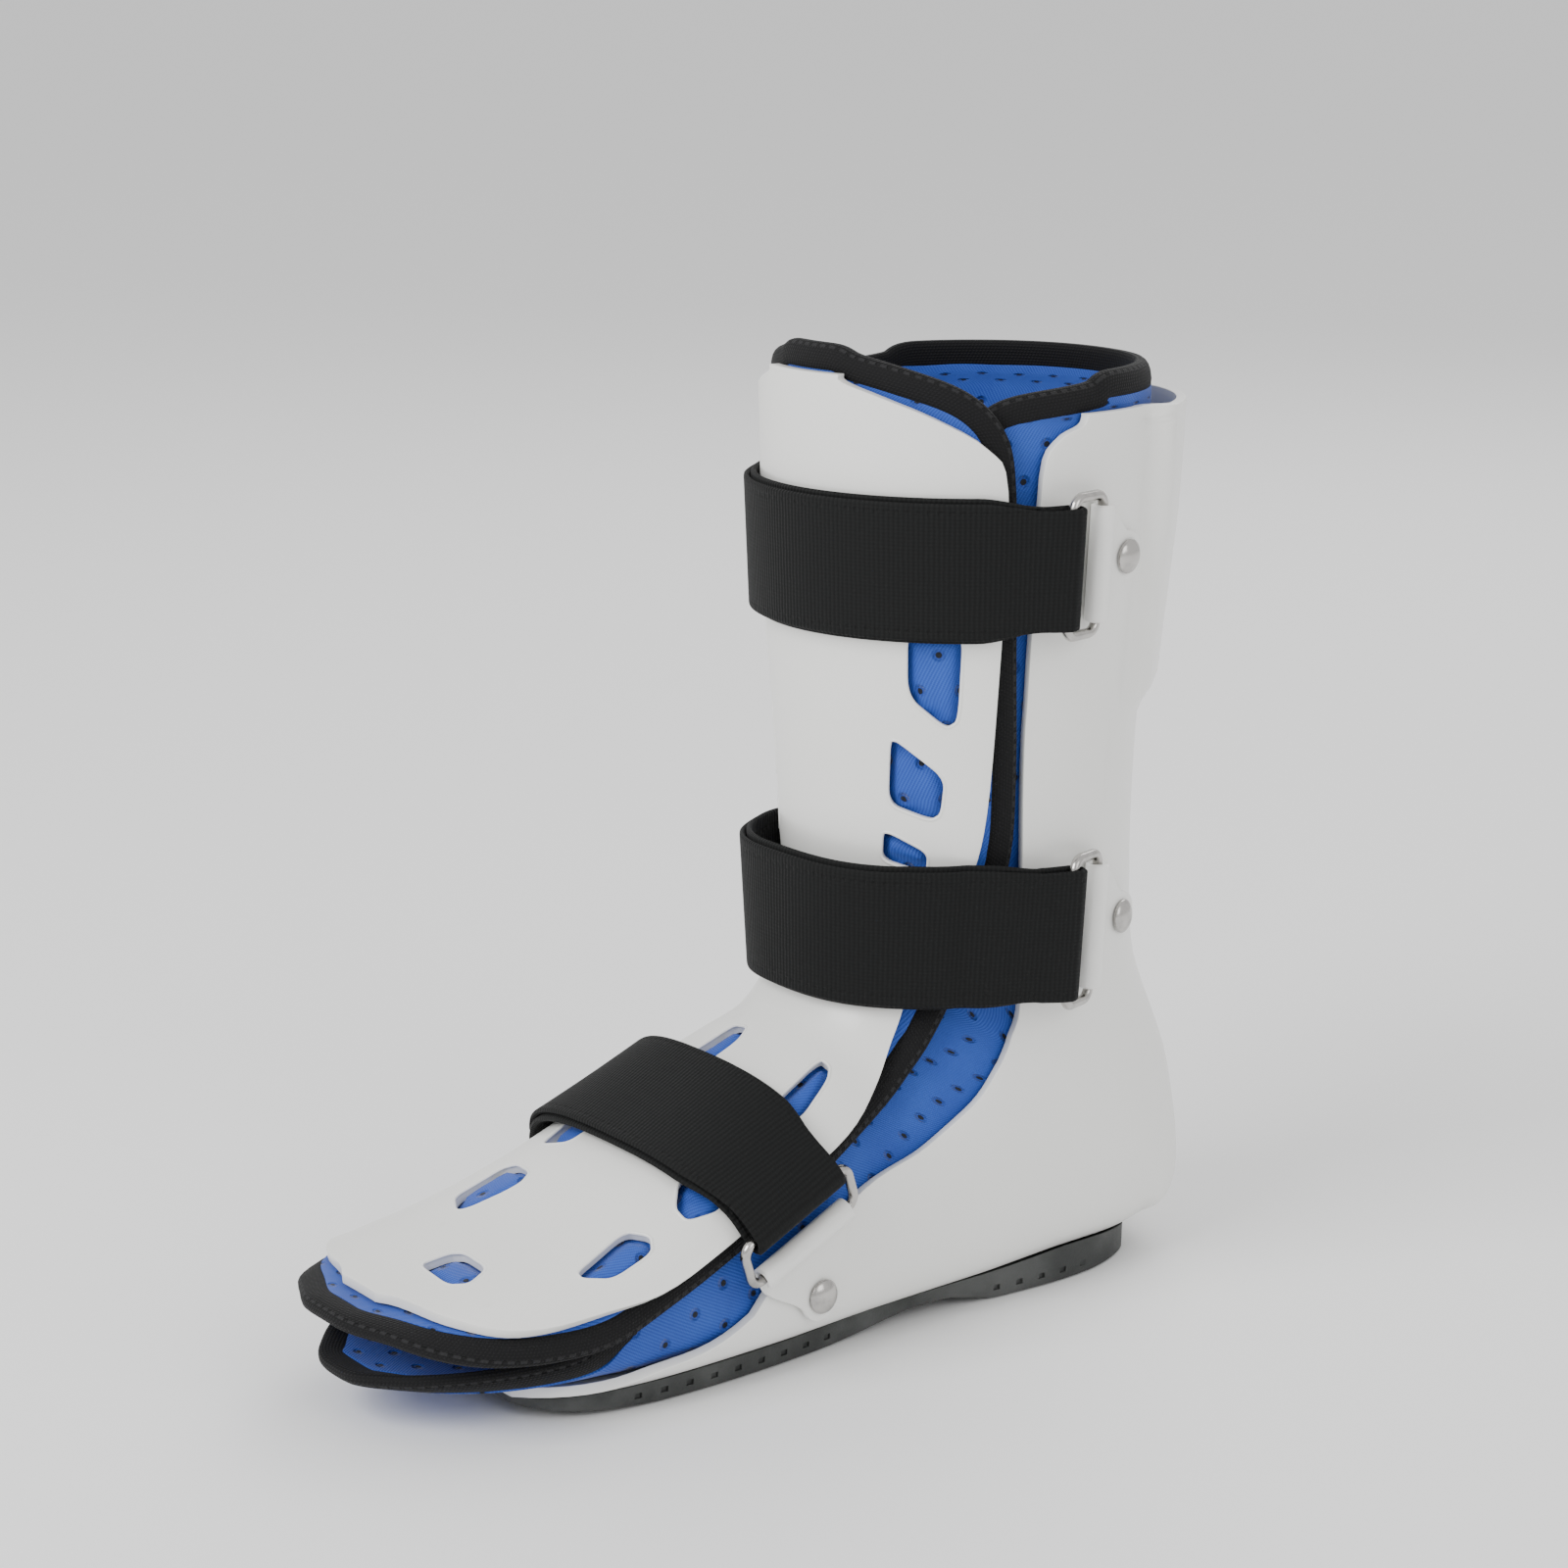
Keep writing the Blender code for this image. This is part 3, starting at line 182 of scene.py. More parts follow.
FOOT_WINDOWS = (
    (
        "instep_far",
        ((-12.0, -73.5), (-5.0, -73.0), (-2.5, -78.0), (-3.0, -90.0), (-8.0, -93.0), (-15.0, -90.0)),
    ),
    (
        "instep_near",
        ((25.0, -69.0), (29.0, -68.0), (32.0, -71.0), (37.0, -84.0), (34.5, -92.0), (29.0, -91.0)),
    ),
    ("ball_far", ((-31.0, -114.0), (-18.0, -112.0), (-15.5, -118.0), (-17.5, -128.0), (-29.0, -131.0))),
    (
        "ball_near",
        ((31.0, -112.0), (42.0, -112.0), (45.0, -118.0), (42.5, -127.5), (37.0, -128.0), (30.0, -122.0)),
    ),
    (
        "toe_far",
        (
            (-31.5, -142.5), (-27.0, -139.5), (-17.0, -141.0), (-14.5, -146.0), (-19.0, -165.0),
            (-31.5, -158.5),
        ),
    ),
    (
        "toe_near",
        ((33.0, -142.5), (40.0, -137.5), (44.5, -140.0), (45.5, -154.0), (40.5, -161.0), (37.0, -160.5)),
    ),
    (
        "toe_end",
        ((1.0, -189.5), (1.5, -179.5), (5.0, -176.5), (18.5, -177.0), (22.5, -185.5), (18.5, -190.5)),
    ),
)

REAR_SHELL_LEVEL = 3.0
REAR_SHELL_WALL = 3.0
REAR_LINER_LEVELS = (-5.3, -0.9)
FRONT_LINER_LEVELS = (0.1, 4.6)
FRONT_SHELL_LEVEL = 8.4
FRONT_SHELL_WALL = 3.0
OUTSOLE_LEVEL = 3.8


# Tools for shaping.
class Form:
    """The rounded form that every shell, liner and strap follows."""

    def __init__(self) -> None:
        """Keep the section table as an array."""
        self.table = np.array([astuple(row)[1:] for row in SECTIONS])

    def rows(self, place: np.ndarray) -> np.ndarray:
        """Smoothed section values along the table.

        Args:
            place: places along the section table.

        Returns:
            One row of eight section values for each place.
        """
        last = len(self.table) - 1
        row = np.clip(np.floor(place).astype(int), 0, last - 1)
        u = (place - row)[..., None]
        before = self.table[np.maximum(row - 1, 0)]
        start = self.table[row]
        end = self.table[row + 1]
        after = self.table[np.minimum(row + 2, last)]
        square = 2 * before - 5 * start + 4 * end - after
        cube = 3 * start - before - 3 * end + after
        return 0.5 * (2 * start + (end - before) * u + square * u**2 + cube * u**3)

    def points(self, place: np.ndarray, degrees: np.ndarray, level: np.ndarray) -> np.ndarray:
        """Points on the form, in millimetres.

        Args:
            place: places along the section table.
            degrees: angles round each ring, 0 at the front or top and 90 at the outer side.
            level: how far outside the form each point lies.

        Returns:
            The points, with the shape of the arguments and a last axis of three.
        """
        place, degrees, level = np.broadcast_arrays(
            np.asarray(place, float), np.asarray(degrees, float), np.asarray(level, float)
        )
        values = self.rows(place)
        angle = np.radians(degrees)
        sine = np.sin(angle)
        cosine = np.cos(angle)
        ahead = cosine >= 0
        power = np.where(ahead, values[..., 6], values[..., 7])
        reach = np.where(ahead, values[..., 4], values[..., 5])
        across = (values[..., 3] + level) * np.sign(sine) * np.abs(sine) ** (2.0 / power)
        along = (reach + level) * np.sign(cosine) * np.abs(cosine) ** (2.0 / power)
        tilt = np.radians(values[..., 2])
        y = values[..., 0] - np.cos(tilt) * along
        z = values[..., 1] + np.sin(tilt) * along
        return np.stack([across, y, z], axis=-1)

    def normals(self, place: np.ndarray, degrees: np.ndarray, level: float) -> np.ndarray:
        """Outward directions of the form, from small steps both ways."""
        down = self.points(place + 0.02, degrees, level) - self.points(place - 0.02, degrees, level)
        turn = self.points(place, degrees + 1.0, level) - self.points(place, degrees - 1.0, level)
        normal = np.cross(down, turn)
        out = self.points(place, degrees, level) - self.points(place, degrees, level - 5.0)
        normal *= np.sign(np.sum(normal * out, axis=-1, keepdims=True))
        return normal / np.linalg.norm(normal, axis=-1, keepdims=True)

    def side_angle(self, place: float, level: float, side: np.ndarray) -> float | None:
        """Angle at which a ring crosses a line drawn in the side view.

        Args:
            place: place of the ring along the table.
            level: level of the surface that the line lies on.
            side: points of the line, as y and z.

        Returns:
            The angle in degrees, or None past the end of the line.
        """
        centre_y, centre_z, tilt, _, front, back, front_power, back_power = self.rows(np.array(place))
        tilt = math.radians(tilt)
        along = np.array([-math.cos(tilt), math.sin(tilt)])
        upward = np.array([math.sin(tilt), math.cos(tilt)])
        centre = np.array([centre_y, centre_z])
        heights = (side - centre) @ upward
        if heights[0] < 0.0:
            point = side[0]
        else:
            crossed = np.nonzero((heights[:-1] >= 0.0) & (heights[1:] < 0.0))[0]
            if len(crossed) == 0:
                return None
            at = crossed[0]
            share = heights[at] / (heights[at] - heights[at + 1])
            point = (1.0 - share) * side[at] + share * side[at + 1]
        distance = float((point - centre) @ along)
        reach = (front if distance >= 0 else back) + level
        power = front_power if distance >= 0 else back_power
        ratio = min(abs(distance) / reach, 1.0)
        return math.degrees(math.acos(math.copysign(ratio ** (power / 2.0), distance)))

    def plan_angle(self, place: float, level: float, plan: np.ndarray, half: Half) -> float:
        """Angle at which a ring reaches a width given in the plan view."""
        values = self.rows(np.array(place))
        half_x = float(np.interp(values[0], plan[::-1, 0], plan[::-1, 1]))
        power = values[6] if half is Half.FRONT else values[7]
        angle = math.degrees(math.asin(min(half_x / (values[3] + level), 1.0) ** (power / 2.0)))
        return angle if half is Half.FRONT else 180.0 - angle

    def edge(self, place: float, level: float, side: np.ndarray, plan: np.ndarray, half: Half) -> float:
        """Angle of a part's edge, from its side line and then from its plan line."""
        found = self.side_angle(place, level, side)
        return self.plan_angle(place, level, plan, half) if found is None else found


FORM = Form()


def smooth_line(points: tuple, pieces: int = 5) -> np.ndarray:
    """Run a smooth curve through the points of a line.

    Args:
        points: the given points.
        pieces: how many steps to take between two of them.

    Returns:
        The finer line, with the given points kept.
    """
    line = np.array(points, float)
    padded = np.vstack([2 * line[0] - line[1], line, 2 * line[-1] - line[-2]])
    finer = []
    for k in range(1, len(padded) - 2):
        before, start, end, after = padded[k - 1 : k + 3]
        for step in range(pieces):
            u = step / pieces
            bend = (2 * before - 5 * start + 4 * end - after) * u**2
            twist = (3 * start - before - 3 * end + after) * u**3
            finer.append(0.5 * (2 * start + (end - before) * u + bend + twist))
    finer.append(line[-1])
    return np.array(finer)


def finer_steps(values: tuple, pieces: int) -> np.ndarray:
    """Put evenly spaced values between each two of a rising list."""
    values = np.array(values, float)
    shares = np.arange(pieces) / pieces
    return np.append((values[:-1, None] + np.diff(values)[:, None] * shares).ravel(), values[-1])


def smooth_step(value: np.ndarray, low: float, high: float) -> np.ndarray:
    """Rise smoothly from 0 at low to 1 at high."""
    share = np.clip((value - low) / (high - low), 0.0, 1.0)
    return share * share * (3.0 - 2.0 * share)


def rounded_outline(corners: tuple, share: float = 0.30, steps: int = 7) -> np.ndarray:
    """Round the corners of a closed outline.

    Args:
        corners: the sharp corners.
        share: how much of each side a corner's arc takes.
        steps: points along each arc.

    Returns:
        The points of the rounded outline, in order.
    """
    corners = np.array(corners, float)
    outline = []
    for k, corner in enumerate(corners):
        start = corner + (corners[k - 1] - corner) * share
        end = corner + (corners[(k + 1) % len(corners)] - corner) * share
        for u in np.linspace(0.0, 1.0, steps):
            outline.append((1 - u) ** 2 * start + 2 * u * (1 - u) * corner + u * u * end)
    return np.array(outline)


def even_loop(loop: np.ndarray, step: float) -> np.ndarray:
    """Space the points of a closed loop evenly."""
    closed = np.vstack([loop, loop[:1]])
    lengths = np.concatenate([[0.0], np.cumsum(np.linalg.norm(np.diff(closed, axis=0), axis=1))])
    count = max(int(round(lengths[-1] / step)), 8)
    at = np.linspace(0.0, lengths[-1], count, endpoint=False)
    return np.stack([np.interp(at, lengths, closed[:, k]) for k in range(loop.shape[1])], axis=1)


def soften_loop(loop: np.ndarray, rounds: int) -> np.ndarray:
    """Average each point of a closed loop with its neighbours."""
    for _ in range(rounds):
        loop = 0.5 * loop + 0.25 * (np.roll(loop, 1, axis=0) + np.roll(loop, -1, axis=0))
    return loop


def depth_inside(points: np.ndarray, outline: np.ndarray, normal: np.ndarray) -> np.ndarray:
    """How far inside a closed outline each point lies, seen along a direction.

    Args:
        points: the points, of any shape with a last axis of three.
        outline: points round the outline.
        normal: the direction to look along.

    Returns:
        Distance from the outline, or zero for a point outside it or far behind or before it.
    """
    middle = outline.mean(axis=0)
    across = unit(np.cross(normal, outline[0] - middle))
    axes = np.stack([across, np.cross(normal, across)], axis=1)
    flat = (points - middle) @ axes
    loop = (outline - middle) @ axes
    crossings = np.zeros(flat.shape[:-1], int)
    nearest = np.full(flat.shape[:-1], np.inf)
    for start, end in zip(loop, np.roll(loop, -1, axis=0)):
        side = end - start
        share = np.clip(((flat - start) @ side) / max(float(side @ side), 1e-9), 0.0, 1.0)
        nearest = np.minimum(nearest, np.linalg.norm(flat - start - share[..., None] * side, axis=-1))
        if abs(side[1]) > 1e-9:
            at = start[0] + (flat[..., 1] - start[1]) * side[0] / side[1]
            spans = (flat[..., 1] >= min(start[1], end[1])) & (flat[..., 1] < max(start[1], end[1]))
            crossings += spans & (flat[..., 0] < at)
    near = np.abs((points - middle) @ normal) < 20.0
    return np.where((crossings % 2 == 1) & near, nearest, 0.0)


def select_only(piece: bpy.types.Object) -> None:
    """Deselect everything else and make this piece the active one."""
    if bpy.context.mode != "OBJECT":
        bpy.ops.object.mode_set(mode="OBJECT")
    bpy.ops.object.select_all(action="DESELECT")
    piece.select_set(True)
    bpy.context.view_layer.objects.active = piece


def apply_modifier(piece: bpy.types.Object, kind: str, **settings: object) -> None:
    """Add a modifier with its settings and apply it."""
    select_only(piece)
    modifier = piece.modifiers.new(kind.lower(), kind)
    for name, value in settings.items():
        setattr(modifier, name, value)
    bpy.ops.object.modifier_apply(modifier=modifier.name)


def grid_piece(name: str, points: np.ndarray, uv: np.ndarray) -> bpy.types.Object:
    """Add a grid and move its points onto a surface.

    Args:
        name: name of the new piece.
        points: rows and columns of points in millimetres.
        uv: rows and columns of pattern coordinates in metres.

    Returns:
        The new object, as an open sheet.
    """
    rows, columns = points.shape[:2]
    bpy.ops.object.select_all(action="DESELECT")
    bpy.ops.mesh.primitive_grid_add(x_subdivisions=columns - 1, y_subdivisions=rows - 1, size=1.0)
    piece = bpy.context.object
    piece.name = name
    mesh = piece.data
    mesh.name = name
    mesh.vertices.foreach_set("co", (points * MM).astype(np.float32).ravel())
    index = np.empty(len(mesh.loops), np.int32)
    mesh.loops.foreach_get("vertex_index", index)
    mesh.uv_layers[0].data.foreach_set("uv", uv.reshape(-1, 2)[index].astype(np.float32).ravel())
    mesh.update()
    return piece


def close_tube(piece: bpy.types.Object) -> None:
    """Merge the seams of a swept grid, fill its open ends and turn its faces outwards."""
    select_only(piece)
    bpy.ops.object.mode_set(mode="EDIT")
    bpy.ops.mesh.select_all(action="SELECT")
    bpy.ops.mesh.remove_doubles(threshold=1e-6)
    bpy.ops.mesh.select_all(action="SELECT")
    bpy.ops.mesh.fill_holes(sides=0)
    bpy.ops.mesh.select_all(action="SELECT")
    bpy.ops.mesh.normals_make_consistent(inside=False)
    bpy.ops.object.mode_set(mode="OBJECT")


def smooth(piece: bpy.types.Object, degrees: float = 40.0) -> None:
    """Shade a piece smooth, apart from edges sharper than an angle."""
    select_only(piece)
    bpy.ops.object.shade_smooth_by_angle(angle=math.radians(degrees))


def run_lengths(line: np.ndarray, axis: int) -> np.ndarray:
    """Distance along an axis of a grid of points, from its first."""
    steps = np.linalg.norm(np.diff(line, axis=axis), axis=-1)
    start = np.zeros_like(np.take(steps, [0], axis=axis))
    return np.concatenate([start, np.cumsum(steps, axis=axis)], axis=axis)


def swept_piece(name: str, loops: np.ndarray, closed: bool) -> bpy.types.Object:
    """Close a row of section loops into a tube.

    Args:
        name: name of the new piece.
        loops: sections along the way, each a loop of points in millimetres.
        closed: whether the last section meets the first.

    Returns:
        The new object, whose pattern runs in metres along and across it.
    """
    grid = np.concatenate([loops, loops[:, :1]], axis=1)
    if closed:
        grid = np.concatenate([grid, grid[:1]], axis=0)
    along = run_lengths(grid.mean(axis=1), 0)
    across = run_lengths(grid[len(grid) // 2], 0)
    uv = np.stack(np.broadcast_arrays(along[:, None], across[None, :]), axis=-1) * MM
    piece = grid_piece(name, grid, uv)
    close_tube(piece)
    smooth(piece)
    return piece


def swept_loops(
    centres: np.ndarray, outward: np.ndarray, normal: np.ndarray, section: np.ndarray
) -> np.ndarray:
    """Place a section along a path.

    Args:
        centres: points of the path.
        outward: sideways direction at each point.
        normal: upward direction at each point.
        section: points of the section, as sideways and upward.

    Returns:
        One loop of points for each point of the path.
    """
    return (
        centres[:, None]
        + outward[:, None] * section[None, :, :1]
        + normal[:, None] * section[None, :, 1:]
    )


def circle_section(radius: float, sides: int) -> np.ndarray:
    """Points of a round section."""
    angle = 2.0 * np.pi * np.arange(sides) / sides
    return np.stack([np.cos(angle), np.sin(angle)], axis=1) * radius


def unit(vectors: np.ndarray) -> np.ndarray:
    """Scale vectors to a length of one."""
    return vectors / np.linalg.norm(vectors, axis=-1, keepdims=True)


def loop_tangents(loop: np.ndarray) -> np.ndarray:
    """Directions along a closed loop."""
    return unit(np.roll(loop, -1, axis=0) - np.roll(loop, 1, axis=0))


def finish_piece(
    piece: bpy.types.Object, material: bpy.types.Material, replaced: tuple[str, ...] = ()
) -> bpy.types.Object:
    """Dress a finished piece and let it ride on the splint.

    Args:
        piece: the finished piece.
        material: its finish.
        replaced: CAD nodes that the piece stands for.

    Returns:
        The same piece.
    """
    piece.data.materials.clear()
    piece.data.materials.append(material)
    if replaced:
        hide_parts(*replaced)
    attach(piece, "root")
    LOG.info("%s: %d faces", piece.name, len(piece.data.polygons))
    return piece


# Finishes.
class Graph:
    """A short way to write a material's nodes."""

    def __init__(self, name: str) -> None:
        """Start a material with its shader and pattern coordinates."""
        self.material = bpy.data.materials.new(name)
        self.material.use_nodes = True
        self.tree = self.material.node_tree
        self.shader = self.tree.nodes["Principled BSDF"]
        self.coordinates = self.tree.nodes.new("ShaderNodeTexCoord")

    def add(self, kind: str, inputs: dict | None = None, **settings: object) -> bpy.types.Node:
        """Add a node.

        Args:
            kind: the node's type.
            inputs: what each of its sockets is fed, a socket or a value.
            settings: its other settings.

        Returns:
            The new node.
        """
        node = self.tree.nodes.new(kind)
        for name, value in settings.items():
            setattr(node, name, value)
        for name, value in (inputs or {}).items():
            self.feed(node.inputs[name], value)
        return node

    def feed(self, socket: bpy.types.NodeSocket, value: object) -> None:
        """Link a socket to another, or set its value."""
        if isinstance(value, bpy.types.NodeSocket):
            self.tree.links.new(value, socket)
        else:
            socket.default_value = value

    def math(
        self, operation: str, first: object, second: object = 0.0, third: object = 0.0
    ) -> bpy.types.NodeSocket:
        """Work out one step of arithmetic."""
        node = self.add("ShaderNodeMath", {0: first, 1: second, 2: third}, operation=operation)
        return node.outputs[0]

    def pattern(self) -> tuple[bpy.types.NodeSocket, bpy.types.NodeSocket]:
        """Pattern coordinates, in metres along and across the piece."""
        node = self.add("ShaderNodeSeparateXYZ", {0: self.coordinates.outputs["UV"]})
        return node.outputs[0], node.outputs[1]

    def noise(
        self, scale: float, detail: float = 3.0, stretch: tuple = (1.0, 1.0, 1.0)
    ) -> bpy.types.NodeSocket:
        """Cloudy values over the piece, by its own coordinates."""
        vector = self.add(
            "ShaderNodeMapping", {"Vector": self.coordinates.outputs["Object"], "Scale": stretch}
        ).outputs[0]
        node = self.add("ShaderNodeTexNoise", {"Vector": vector, "Scale": scale, "Detail": detail})
        return node.outputs["Fac"]

    def remap(
        self, value: object, low: float, high: float, start: float = 0.0, end: float = 1.0
    ) -> bpy.types.NodeSocket:
        """Map a range of values to another, with a smooth run."""
        inputs = {"Value": value, "From Min": low, "From Max": high, "To Min": start, "To Max": end}
        return self.add("ShaderNodeMapRange", inputs, interpolation_type="SMOOTHSTEP").outputs[0]

    def ribs(self, along: object, period: float) -> bpy.types.NodeSocket:
        """Values that rise and fall between 0 and 1 over a period."""
        angle = self.math("MULTIPLY", along, 2.0 * math.pi / period)
        return self.math("MULTIPLY_ADD", self.math("SINE", angle), 0.5, 0.5)

    def blend(self, factor: object, first: object, second: object) -> bpy.types.NodeSocket:
        """Mix two colours."""
        node = self.add("ShaderNodeMix", data_type="RGBA")
        self.feed(node.inputs[0], factor)
        self.feed(node.inputs[6], first)
        self.feed(node.inputs[7], second)
        return node.outputs[2]

    def bump(self, height: object, distance: float, strength: float = 1.0) -> None:
        """Raise the surface by a pattern, over any earlier one."""
        inputs = {"Height": height, "Distance": distance, "Strength": strength}
        links = self.shader.inputs["Normal"].links
        if links:
            inputs["Normal"] = links[0].from_socket
        self.feed(self.shader.inputs["Normal"], self.add("ShaderNodeBump", inputs).outputs[0])

    def set(self, **values: object) -> None:
        """Feed the shader's sockets by their names, with _ for each space."""
        for name, value in values.items():
            self.feed(self.shader.inputs[name.replace("_", " ")], value)


Colour = tuple[float, float, float, float]


@dataclass(frozen=True)
class MouldedPlastic:
    """Satin white plastic with a faint orange peel, light scuffs and a soft tint."""

    name: str = "moulded_white"
    clean: Colour = (0.80, 0.80, 0.775, 1.0)
    dull: Colour = (0.735, 0.73, 0.70, 1.0)
    gloss: float = 0.33
    grain_scale: float = 900.0

    def material(self) -> bpy.types.Material:
        """Make the finish."""
        graph = Graph(self.name)
        cloud = graph.noise(14.0, 4.0)
        scuffs = graph.noise(120.0, 6.0, (1.0, 1.0, 0.12))
        marks = graph.remap(scuffs, 0.66, 0.80)
        tint = graph.math("MULTIPLY_ADD", marks, 0.35, graph.math("MULTIPLY", cloud, 0.35))
        graph.set(Base_Color=graph.blend(tint, self.clean, self.dull))
        rough = graph.math("MULTIPLY_ADD", cloud, 0.10, self.gloss - 0.05)
        graph.set(Roughness=graph.math("MULTIPLY_ADD", marks, 0.12, rough))
        graph.set(Coat_Weight=0.25, Coat_Roughness=0.22, IOR=1.49)
        graph.bump(graph.noise(self.grain_scale, 2.0), 0.00006, 0.5)
        return graph.material


@dataclass(frozen=True)
class PaddedFabric:
    """Blue satin-ribbed cloth over foam, with small punched eyelets; shade is painted into its rib valleys,
    dents and eyelet holes.
    """

    name: str = "padded_blue"
    # The two blues are a lit and a shaded copy of one cloth colour, used to paint shade.
    lit_blue: Colour = (0.034, 0.115, 0.50, 1.0)
    shaded_blue: Colour = (0.008, 0.028, 0.24, 1.0)
    # Near-black painted shade that fills each punched hole.
    painted_hole_shade: Colour = (0.004, 0.006, 0.012, 1.0)
    pitch: float = 0.0125
    hole_radius: float = 0.00085
    rib: float = 0.00105

    def eyelets(self, graph: Graph) -> bpy.types.NodeSocket:
        """Distance from the nearest eyelet's middle, in metres."""
        along, across = graph.pattern()
        row = graph.math("DIVIDE", across, self.pitch * 0.866)
        shift = graph.math("MULTIPLY", graph.math("MODULO", graph.math("FLOOR", row), 2.0), 0.5)
        column = graph.math("ADD", graph.math("DIVIDE", along, self.pitch), shift)
        u = graph.math("MULTIPLY", graph.math("SUBTRACT", graph.math("FRACT", column), 0.5), self.pitch)
        v = graph.math("SUBTRACT", graph.math("FRACT", row), 0.5)
        v = graph.math("MULTIPLY", v, self.pitch * 0.866)
        square = graph.math("MULTIPLY_ADD", u, u, graph.math("MULTIPLY", v, v))
        return graph.math("SQRT", square)

    def material(self) -> bpy.types.Material:
        """Make the finish."""
        graph = Graph(self.name)
        along, across = graph.pattern()
        slant = graph.math("MULTIPLY_ADD", across, 0.55, along)
        weave = graph.ribs(slant, self.rib)
        fine = graph.ribs(graph.math("MULTIPLY_ADD", along, -0.4, across), self.rib * 0.62)
        cloth = graph.math("MULTIPLY_ADD", fine, 0.3, graph.math("MULTIPLY", weave, 0.7))
        cloud = graph.noise(60.0, 5.0)
        # Painted shading: the weave ribs and crease noise, which also raise the bumps, darken the valleys and
        # dents.
        light = graph.math("MULTIPLY_ADD", cloth, 0.55, graph.math("MULTIPLY", cloud, 0.55))
        distance = self.eyelets(graph)
        # Masks of painted shade: each hole's middle and a dented ring round it.
        inside = graph.remap(distance, self.hole_radius, self.hole_radius * 1.25, 1.0, 0.0)
        rim = graph.remap(distance, self.hole_radius * 1.25, self.hole_radius * 2.6, 1.0, 0.0)
        # Painted shade: shaded blue in the rib valleys and dents, lit blue on their crowns.
        colour = graph.blend(light, self.shaded_blue, self.lit_blue)
        # Painted shade: the dented ring round each eyelet darkened towards the shaded blue.
        colour = graph.blend(graph.math("MULTIPLY", rim, 0.35), colour, self.shaded_blue)
        # Painted shade: each eyelet hole filled with near-black.
        graph.set(Base_Color=graph.blend(inside, colour, self.painted_hole_shade))
        graph.set(Roughness=graph.math("MULTIPLY_ADD", cloth, -0.15, 0.72))
        graph.set(Sheen_Weight=0.15, Sheen_Roughness=0.4, Specular_IOR_Level=0.3)
        graph.bump(cloth, 0.00022, 0.6)
        graph.bump(cloud, 0.0012, 0.5)
        graph.bump(graph.math("MULTIPLY", rim, -1.0), 0.0009, 0.9)
        return graph.material


@dataclass(frozen=True)
class KnitBinding:
    """Black knitted tape with a row of stitches near its inner edge and painted shade between its yarns."""

    name: str = "knit_black"
    yarn: Colour = (0.009, 0.009, 0.0095, 1.0)
    # Darker black painted as shade in the knit's valleys between yarns.
    gap_shade: Colour = (0.003, 0.003, 0.0035, 1.0)
    thread: Colour = (0.018, 0.018, 0.019, 1.0)
    rib: float = 0.0011
    stitch: float = 0.0034
    stitch_lines: tuple[float, ...] = (0.0022,)

    def material(self) -> bpy.types.Material:
        """Make the finish."""
        graph = Graph(self.name)
        along, across = graph.pattern()
        slant = graph.math("MULTIPLY_ADD", across, 0.5, along)
        knit = graph.math("MULTIPLY", graph.ribs(slant, self.rib), graph.ribs(across, self.rib * 0.8))
        fuzz = graph.noise(700.0, 4.0)
        # Painted shade: the knit's valleys, which are also the bump's low parts, take the darker colour.
        graph.set(Base_Color=graph.blend(graph.math("MULTIPLY_ADD", fuzz, 0.5, knit), self.gap_shade, self.yarn))
        for line in self.stitch_lines:
            near = graph.math("ABSOLUTE", graph.math("SUBTRACT", across, line))
            band = graph.remap(near, 0.00025, 0.0006, 1.0, 0.0)
            dash = graph.remap(graph.ribs(along, self.stitch), 0.25, 0.5)
            seen = graph.math("MULTIPLY", band, dash)
            base = graph.shader.inputs["Base Color"].links[0].from_socket
            graph.set(Base_Color=graph.blend(seen, base, self.thread))
            graph.bump(graph.math("SUBTRACT", seen, band), 0.0007, 0.8)
        graph.set(Roughness=graph.math("MULTIPLY_ADD", fuzz, 0.15, 0.72))
        graph.set(Sheen_Weight=0.03, Sheen_Roughness=0.45, Specular_IOR_Level=0.2)
        graph.bump(knit, 0.00028, 0.7)
        return graph.material


